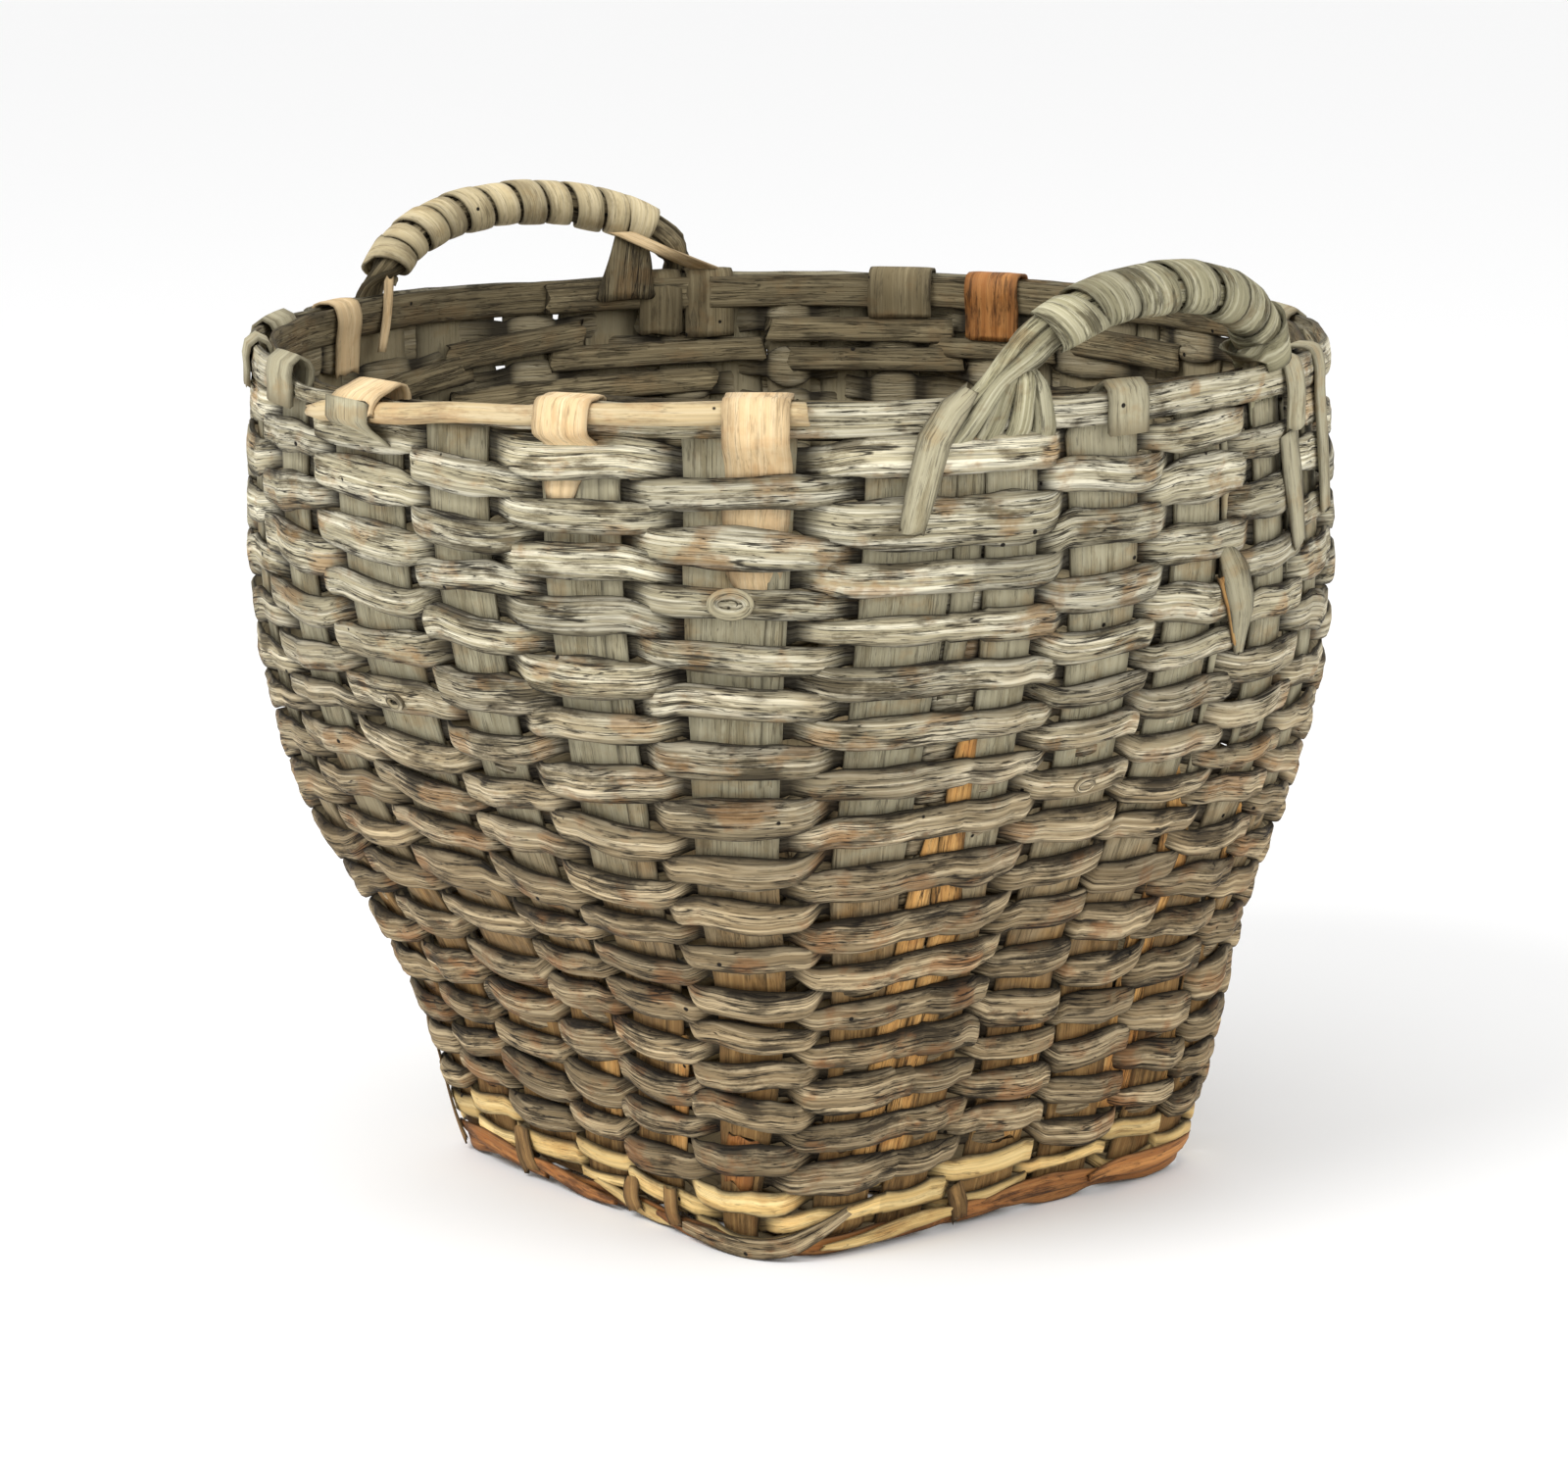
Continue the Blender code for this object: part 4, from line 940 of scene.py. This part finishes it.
def build_splint(key, place, width, stakes, crossing, parity):
    """A splint from the top of one wall, down, across the foot and up to the top of the other."""
    along_y = key.startswith("y")
    direction = np.array((1.0, 0.0, 0.0) if along_y else (0.0, 1.0, 0.0))
    floor = base_path(place, along_y, crossing, parity)
    flat = direction * width / 2
    halves = []
    for sign, end_point in (("-", floor[0]), ("+", floor[-1])):
        stake = stakes[key + sign]
        heights = np.linspace(0.013, HOOP_BOTTOM - 0.004, WALL_STEPS)
        top_points, top_across = splint_top(stake, key + sign)
        across = [stake.frame(h)[0] * stake.width(h) / 2 for h in heights] + top_across
        corner = stake.centre(0.0)
        run = np.array((corner[0] - end_point[0], corner[1] - end_point[1], 0.0))
        turn_in = end_point + run * 0.55
        turn_up = np.array((corner[0], corner[1], end_point[2] + 0.0035)) - unit(run) * 0.0012
        halves.append(([turn_in, turn_up] + [stake.centre(h) for h in heights] + top_points,
                       [flat] * 2 + [a if a.dot(direction) > 0 else -a for a in across]))
    points = halves[0][0][::-1] + list(floor) + halves[1][0]
    across = halves[0][1][::-1] + [flat] * len(floor) + halves[1][1]
    run, wide = resample(points, across, 0.0055)
    run[:, 2] = np.maximum(run[:, 2], SPLINT_THICKNESS / 2)
    reach = max(abs(row[1]) + row[2] / 2 for row in crossing)
    on_floor = np.abs(run[:, 1 if along_y else 0]) < reach
    run[on_floor, 2] = np.minimum(run[on_floor, 2], floor[:, 2].max())

    def outward_side(run, normal):
        on_wall = run[:, 2] > 0.02
        return np.sign(np.sign((normal * run)[on_wall, :2].sum(1)).sum()) or 1.0

    name = "splint_" + key
    # The splint's back below the hoop, which faces into the basket, gets painted shade.
    ribbon(name, run, wide, STAKE_THICKNESS / 2, STAKE_THICKNESS / 2, "weathered_splint", outward_side,
           node=name,
           boxy=0.3, fray=0.03, ragged=0.0008, inside=np.where(run[:, 2] < HOOP_BOTTOM, 1.0, 0.0))


def build_splints(stakes):
    for prefix, rows, crossing, parity in (("y_", SPLINTS_ALONG_Y, SPLINTS_ALONG_X, 0),
                                           ("x_", SPLINTS_ALONG_X, SPLINTS_ALONG_Y, 1)):
        for index, (letter, place, width, *_) in enumerate(rows):
            build_splint(prefix + letter, place, width, stakes, crossing, index + parity)


# ---------------------------------------------------------------- rim
def hoop_face(stake):
    """Distance from the middle of a stake to the far face of a rim hoop."""
    return SPLINT_THICKNESS / 2 + stake.clearance() + HOOP_THICKNESS


def build_hoop(name, ring, side, slot, start, lap, rise):
    """Flat hoop outside the tops of the stakes, or inside for side -1. Its last stretch lies on its first."""
    order = ring[start:] + ring[:start]
    middle, up, outward, stake, _, share = ring_run(order, [(HOOP_BOTTOM + RIM_HEIGHT) / 2] * len(order))
    stand = np.array([hoop_face(s) - HOOP_THICKNESS / 2 for s in order])
    share = np.clip(share, 0.0, 1.0)
    first = np.where(share > 0.5, stake - 1, stake)
    off = side * (stand[first] * (1 - share) + stand[(first + 1) % len(order)] * share)
    count = len(middle)
    lap_count = int(count * lap)
    index = np.concatenate([np.arange(count), np.arange(lap_count)])
    over = np.concatenate([np.zeros(count), ease(np.arange(lap_count) / lap_count * 4) * rise * side])
    lead = ease((count - np.arange(len(index))) / 14.0)
    over = np.where(over == 0, (1 - lead) * rise * side, over)
    rng = seed(name, 3)
    places = np.arange(len(index)) * 0.005
    wander, swell, tone = (smooth_noise(rng, places, cell)[:, 0] for cell in (0.09, 0.12, 0.07))
    centre = middle[index] + unit(outward[index]) * (off[index] + over)[:, None]
    angle = np.degrees(np.arctan2(centre[:, 1] - LEAN[1], centre[:, 0] - LEAN[0]))
    worn = ease((angle - WORN_RIM[0]) / 10.0) * ease((WORN_RIM[1] - angle) / 10.0)
    centre[:, 2] += 0.0008 * wander - WORN_DEPTH * worn
    half = (RIM_HEIGHT - HOOP_BOTTOM) / 2 * (1.0 + 0.06 * swell - 0.5 * worn)
    outer, inner = HOOP_THICKNESS / 2 + 0.0008, HOOP_THICKNESS / 2
    if side < 0:
        half += 0.0010
        centre[:, 2] -= 0.0008
        outer = inner = 0.85 * HOOP_THICKNESS / 2
    strip(name, centre, up[index], outward[index], half, outer, inner, slot, name, sides=14, boxy=0.5,
          fray=0.06,
          ridge=0.0003, ragged=0.002, tone=0.8 * tone, inside=0.3)


def strap(name, stake, shift, width, inner_bottom, outer_bottom, outer_room, slot, inner_room=0.0,
          crest_lift=0.0, fall=0.0, tail=(), **looks):
    """Thin splint bent over the rim. Its shift, width and bottoms are in millimetres.

    The rooms move its legs away from the wall, crest_lift raises its bend, fall lowers the outer side of
    that,
    and tail is where it goes on below, as (distance out, height).
    """
    face = hoop_face(stake) + GAP + STRAP_THICKNESS / 2
    crest = RIM_HEIGHT + GAP + STRAP_THICKNESS / 2 + crest_lift
    out, back = face + outer_room, -face - inner_room

    def leg(offset, bottom, top):
        steps = max(2, round((RIM_HEIGHT - bottom / 1000) / 0.012))
        return [(offset, height) for height in np.linspace(bottom / 1000, top + crest_lift, steps)]

    bend = [(back + 0.002, crest - 0.0004), ((back + 0.002 + out) / 2, crest + 0.0006 - fall / 2),
            (out - 0.002, crest - 0.0004 - fall)]
    route = (leg(back, inner_bottom, RIM_HEIGHT - 0.003) + bend
             + leg(out, outer_bottom, RIM_HEIGHT - 0.004 - fall)[::-1] + list(tail))
    points = [stake.beside(height, offset, shift / 1000) for offset, height in route]
    run, wide = resample(points, [stake.frame(RIM_HEIGHT)[0] * (width / 2000)] * len(points), 0.003)
    ribbon(name, run, wide, STRAP_THICKNESS / 2, STRAP_THICKNESS / 2, slot,
           lambda run, normal: -1.0 if normal[run[:, 2].argmax()][2] < 0 else 1.0, fray=0.04, ridge=0.00015,
           ragged=0.0015, **looks)


def build_rod(stakes):
    """Peeled rod that lies against the outer hoop where the old rim has gone. It sinks towards its first
    end."""
    points = []
    last = len(stakes) - 1
    for index, stake in enumerate(stakes):
        for end in (-1.2 if index == 0 else -1.0, 0.0, 1.15 if index == last else 1.0):
            share = (index + 0.5 + end / 2) / (last + 1)
            height = RIM_HEIGHT - REPAIR_ROD_RADIUS + 0.0008 - ROD_SINK * max(0.0, 1.0 - share) ** 1.5
            along, _, outward = stake.frame(height)
            out = hoop_face(stake) + GAP + REPAIR_ROD_RADIUS
            point = stake.centre(height) + along * (end * stake.width(height) / 2) + outward * out
            points.append(point + UP * (0.0006 * math.sin(2.1 * len(points) + 0.6)))
    run, up = resample(points, [UP] * len(points), 0.005)
    share = np.linspace(0.0, 1.0, len(run))
    radius = REPAIR_ROD_RADIUS * (1.06 + 0.07 * np.sin(0.4 + 8.6 * share)) * (0.94 + 0.1 * share)
    radius = radius * (1.0 - 0.45 * ease((0.04 - share) / 0.04))
    strip("rim_repair_rod", run, up, np.cross(np.gradient(run, axis=0), up), radius, radius, radius,
          "peeled_rod",
          "rim_repair_rod", sides=16, boxy=1.0, fray=0.03, ridge=0.00015, ragged=0.002, edge_shade=0.15)


def build_rim(ring, stakes):
    build_hoop("rim_hoop_outer", ring, 1, "silvered_weaver", 21, 0.06, 0.0036)
    build_hoop("rim_hoop_inner", ring, -1, "dark_splint", 19, 0.05, 0.0034)
    build_rod([stakes[key] for key in ("y_c-", "y_d-", "y_e-", "y_f-")])
    for name, key, shift, width, inner_bottom, outer_bottom, room, slot, tone, others in STRAPS:
        strap(name, stakes[key], shift, width, inner_bottom, outer_bottom, room, slot, tone=tone,
              node=name if name.startswith("rim_") else None, **others)


# ---------------------------------------------------------------- handles
class HandleArch:
    """Half an ellipse over the rim between two cut stakes; t runs from 0 at one foot to 1 at the other."""

    def __init__(self, first, second):
        self.first, self.second = first, second
        start = first.angle(RIM_HEIGHT)
        self.half_turn = nearest_turn(second.angle(RIM_HEIGHT) - start) / 2
        self.middle = start + self.half_turn

    def centre(self, t):
        angle = self.middle - self.half_turn * math.cos(math.pi * t)
        foot = RIM_HEIGHT + 0.001
        point = wall_point(angle, RIM_HEIGHT)
        point[2] = foot + (HANDLE_TOP - foot) * math.sin(math.pi * t)
        return point

    def frame(self, t):
        """Unit vectors along the arch, across it in its own plane, and out from the basket."""
        tangent = unit(self.centre(min(t + 0.01, 1.0)) - self.centre(max(t - 0.01, 0.0)))
        angle = self.middle - self.half_turn * math.cos(math.pi * t)
        outward = np.array((math.cos(angle), math.sin(angle), 0.0))
        outward = unit(outward - tangent * outward.dot(tangent))
        return tangent, np.cross(outward, tangent), outward

    def place(self, t, radius, turn):
        """Point round the arch, and the direction from its middle to there."""
        _, across, outward = self.frame(t)
        radial = across * math.cos(turn) + outward * math.sin(turn)
        return self.centre(t) + radial * radius, radial


def leg_points(stake, leg, place, width, like):
    """Points down a leg of the strand at a place in -0.5..0.5 across the fan, from its tip up, and its width
    vectors."""
    points, wide = [], []
    odd = round(place * (STRAND_COUNT - 1) + (STRAND_COUNT - 1) / 2) % 2
    for shift, stand, height, fan in np.array(leg) / 1000:
        along, _, outward = stake.frame(min(height, RIM_HEIGHT))
        stand = stand + 0.0012 * odd * (height > HOOP_BOTTOM)
        point = stake.centre(min(height, RIM_HEIGHT)) + along * (shift + place * fan) + outward * stand
        point[2] = height
        points.append(point)
        sign = 1.0 if along.dot(like) > 0 else -1.0
        wide.append(along * (sign * max(width, 1.15 * fan / STRAND_COUNT) / 2))
    return points, wide


def build_strands(prefix, arch, slot, radius, first_leg, second_leg, width):
    """The bundle of splints that a handle is made of, with their legs."""
    for k in range(STRAND_COUNT):
        points, wide = [], []
        for t in np.linspace(0.14, 0.88, 16):
            point, radial = arch.place(t, radius, 2 * math.pi * k / STRAND_COUNT + 0.5 + 0.5 * (t - 0.5))
            points.append(point)
            wide.append(np.cross(radial, arch.frame(t)[0]) * width / 2)
        place = (k - (STRAND_COUNT - 1) / 2) / (STRAND_COUNT - 1)
        before, before_wide = leg_points(arch.first, first_leg, place, width, wide[0])
        after, after_wide = leg_points(arch.second, second_leg, place, width, wide[-1])
        run, wide = resample(before + points + after[::-1], before_wide + wide + after_wide[::-1], 0.005)
        low_end = ease((run[:, 2] - 0.378) / 0.020)
        ribbon(f"{prefix}_core_{k + 1}", run, wide, 0.0006 + 0.0016 * low_end, 0.0006 + 0.0012 * low_end,
               slot,
               lambda run, normal: np.sign((normal * (run - np.mean(run, axis=0) + 0.05 * UP)).sum()),
               node=None if k else f"{prefix}_core", boxy=0.6, ridge=0.0002, ragged=0.002,
               tone=0.7 * math.sin(2.3 * k + 1.0))


def build_wrap(name, arch, turns, start, end, reach, slot, fill, **looks):
    """Strip wound round the grip: turns of a spiral between two places along the arch."""
    rng = seed(name, 11)
    shifts = np.cumsum(rng.uniform(0.75, 1.25, turns + 1))
    shifts = (shifts - shifts[0]) / (shifts[-1] - shifts[0]) * turns
    widths = rng.uniform(0.86, 1.12, turns + 1)
    whole_turns = np.arange(turns + 1)

    def winding(turn, angle):
        spot = np.interp(turn, whole_turns, shifts)
        return arch.place(start + (end - start) * min(max(spot, 0.0), turns) / turns, reach, angle)

    points, wide, normals, half = [], [], [], []
    turn_run = np.arange(turns * WRAP_STEPS + 1) / WRAP_STEPS
    for turn in turn_run:
        angle = 2 * math.pi * turn
        point, radial = winding(turn, angle)
        along = winding(min(turn + 0.5, turns), angle)[0] - winding(max(turn - 0.5, 0.0), angle)[0]
        points.append(point + radial * (0.0004 * math.sin(3.0 * turn)))
        wide.append(unit(along))
        normals.append(radial)
        length = np.linalg.norm(along) * (1.0 if 0.5 <= turn <= turns - 0.5 else 1.6)
        half.append(length / 2 * fill * np.interp(turn, whole_turns, widths))
    tone = smooth_noise(rng, turn_run, 1.0)[:, 0]
    strip(name, points, wide, normals, half, 0.0010, 0.0007, slot, boxy=0.3, fray=0.05, ridge=0.00008,
          ragged=0.001, tone=tone, **looks)


def build_handles(stakes):
    front = HandleArch(stakes["x_b+"], stakes["x_e+"])
    build_strands("handle_front", front, "grey_wrap", 0.0068, FRONT_LEFT_LEG, FRONT_RIGHT_LEG, 0.0095)
    build_wrap("handle_front_wrap", front, 7, 0.24, 0.90, 0.0108, "grey_wrap", 0.90, node="handle_front_wrap")
    build_wrap("handle_front_tail", front, 1, 0.90, 1.02, 0.0122, "grey_wrap", 1.0)
    back = HandleArch(stakes["x_c-"], stakes["x_e-"])
    build_strands("handle_back", back, "dark_splint", 0.0066, BACK_LEG, BACK_LEG, 0.0090)
    build_wrap("handle_back_wrap", back, 11, 0.10, 0.78, 0.0104, "tan_splint", 0.88, node="handle_back_wrap",
               look="pale_wrap")
    for name, start, drop, degrees, bottom, (top_width, foot_width), ahead, slot, tone in HANDLE_STRIPS:
        seat, along, outward = wall_seat(math.radians(degrees), bottom)
        top = back.centre(start) - drop * UP
        foot = seat - outward * (0.0100 if bottom < RIM_HEIGHT else 0.002)
        points = [top - outward * ahead[0], (top + foot) / 2 - outward * ahead[1], foot]
        widths = (top_width, (top_width + foot_width) / 2, foot_width)
        run, wide = resample(points, [along * (width / 2) for width in widths], 0.004)
        ribbon(name, run, wide, 0.0008, 0.0008, slot, ragged=0.002, tone=tone)


# ---------------------------------------------------------------- studio
def plain_material(name, grey, roughness):
    material = bpy.data.materials.new(name)
    material.use_nodes = True
    shader = material.node_tree.nodes["Principled BSDF"]
    shader.inputs["Base Color"].default_value = (grey, grey, grey, 1.0)
    shader.inputs["Roughness"].default_value = roughness
    return material


def build_studio():
    scene = bpy.context.scene
    camera_data = bpy.data.cameras.new("camera")
    camera_data.lens = CAMERA_LENS
    camera_data.sensor_width = CAMERA_SENSOR
    camera = add_object("camera", camera_data)
    camera.location = (CAMERA_DISTANCE * math.sin(CAMERA_AZIMUTH),
                       -CAMERA_DISTANCE * math.cos(CAMERA_AZIMUTH),
                       CAMERA_HEIGHT)
    camera.rotation_mode = "XYZ"
    camera.rotation_euler = (math.pi / 2 - CAMERA_PITCH, CAMERA_ROLL, CAMERA_AZIMUTH + CAMERA_YAW)
    scene.camera = camera

    world = bpy.data.worlds.new("studio")
    world.use_nodes = True
    background = world.node_tree.nodes["Background"]
    background.inputs["Color"].default_value = (1.0, 1.0, 1.0, 1.0)
    background.inputs["Strength"].default_value = 1.0
    scene.world = world
    scene.view_settings.view_transform = "Standard"
    for name, place, size, power in LIGHTS:
        data = bpy.data.lights.new(name, "AREA")
        data.shape = "DISK"
        data.size = size
        data.energy = power
        lamp = add_object(name, data)
        lamp.location = place
        lamp.rotation_mode = "QUATERNION"
        lamp.rotation_quaternion = Vector(place - LIT_HEIGHT * UP).to_track_quat("Z", "Y")

    mesh = bpy.data.meshes.new("floor")
    corners = [(x * FLOOR_REACH, y * FLOOR_REACH, 0) for x, y in ((-1, -1), (1, -1), (1, 1), (-1, 1))]
    mesh.from_pydata(corners, [], [(0, 1, 2, 3)])
    mesh.materials.append(plain_material("floor", FLOOR_GREY, 0.9))
    add_object("floor", mesh)


build_studio()
stakes, ring, sides = make_stakes()
build_rows(ring, sides)
build_foot()
build_knots(stakes)
build_splints(stakes)
build_rim(ring, stakes)
build_liners(stakes)
build_handles(stakes)
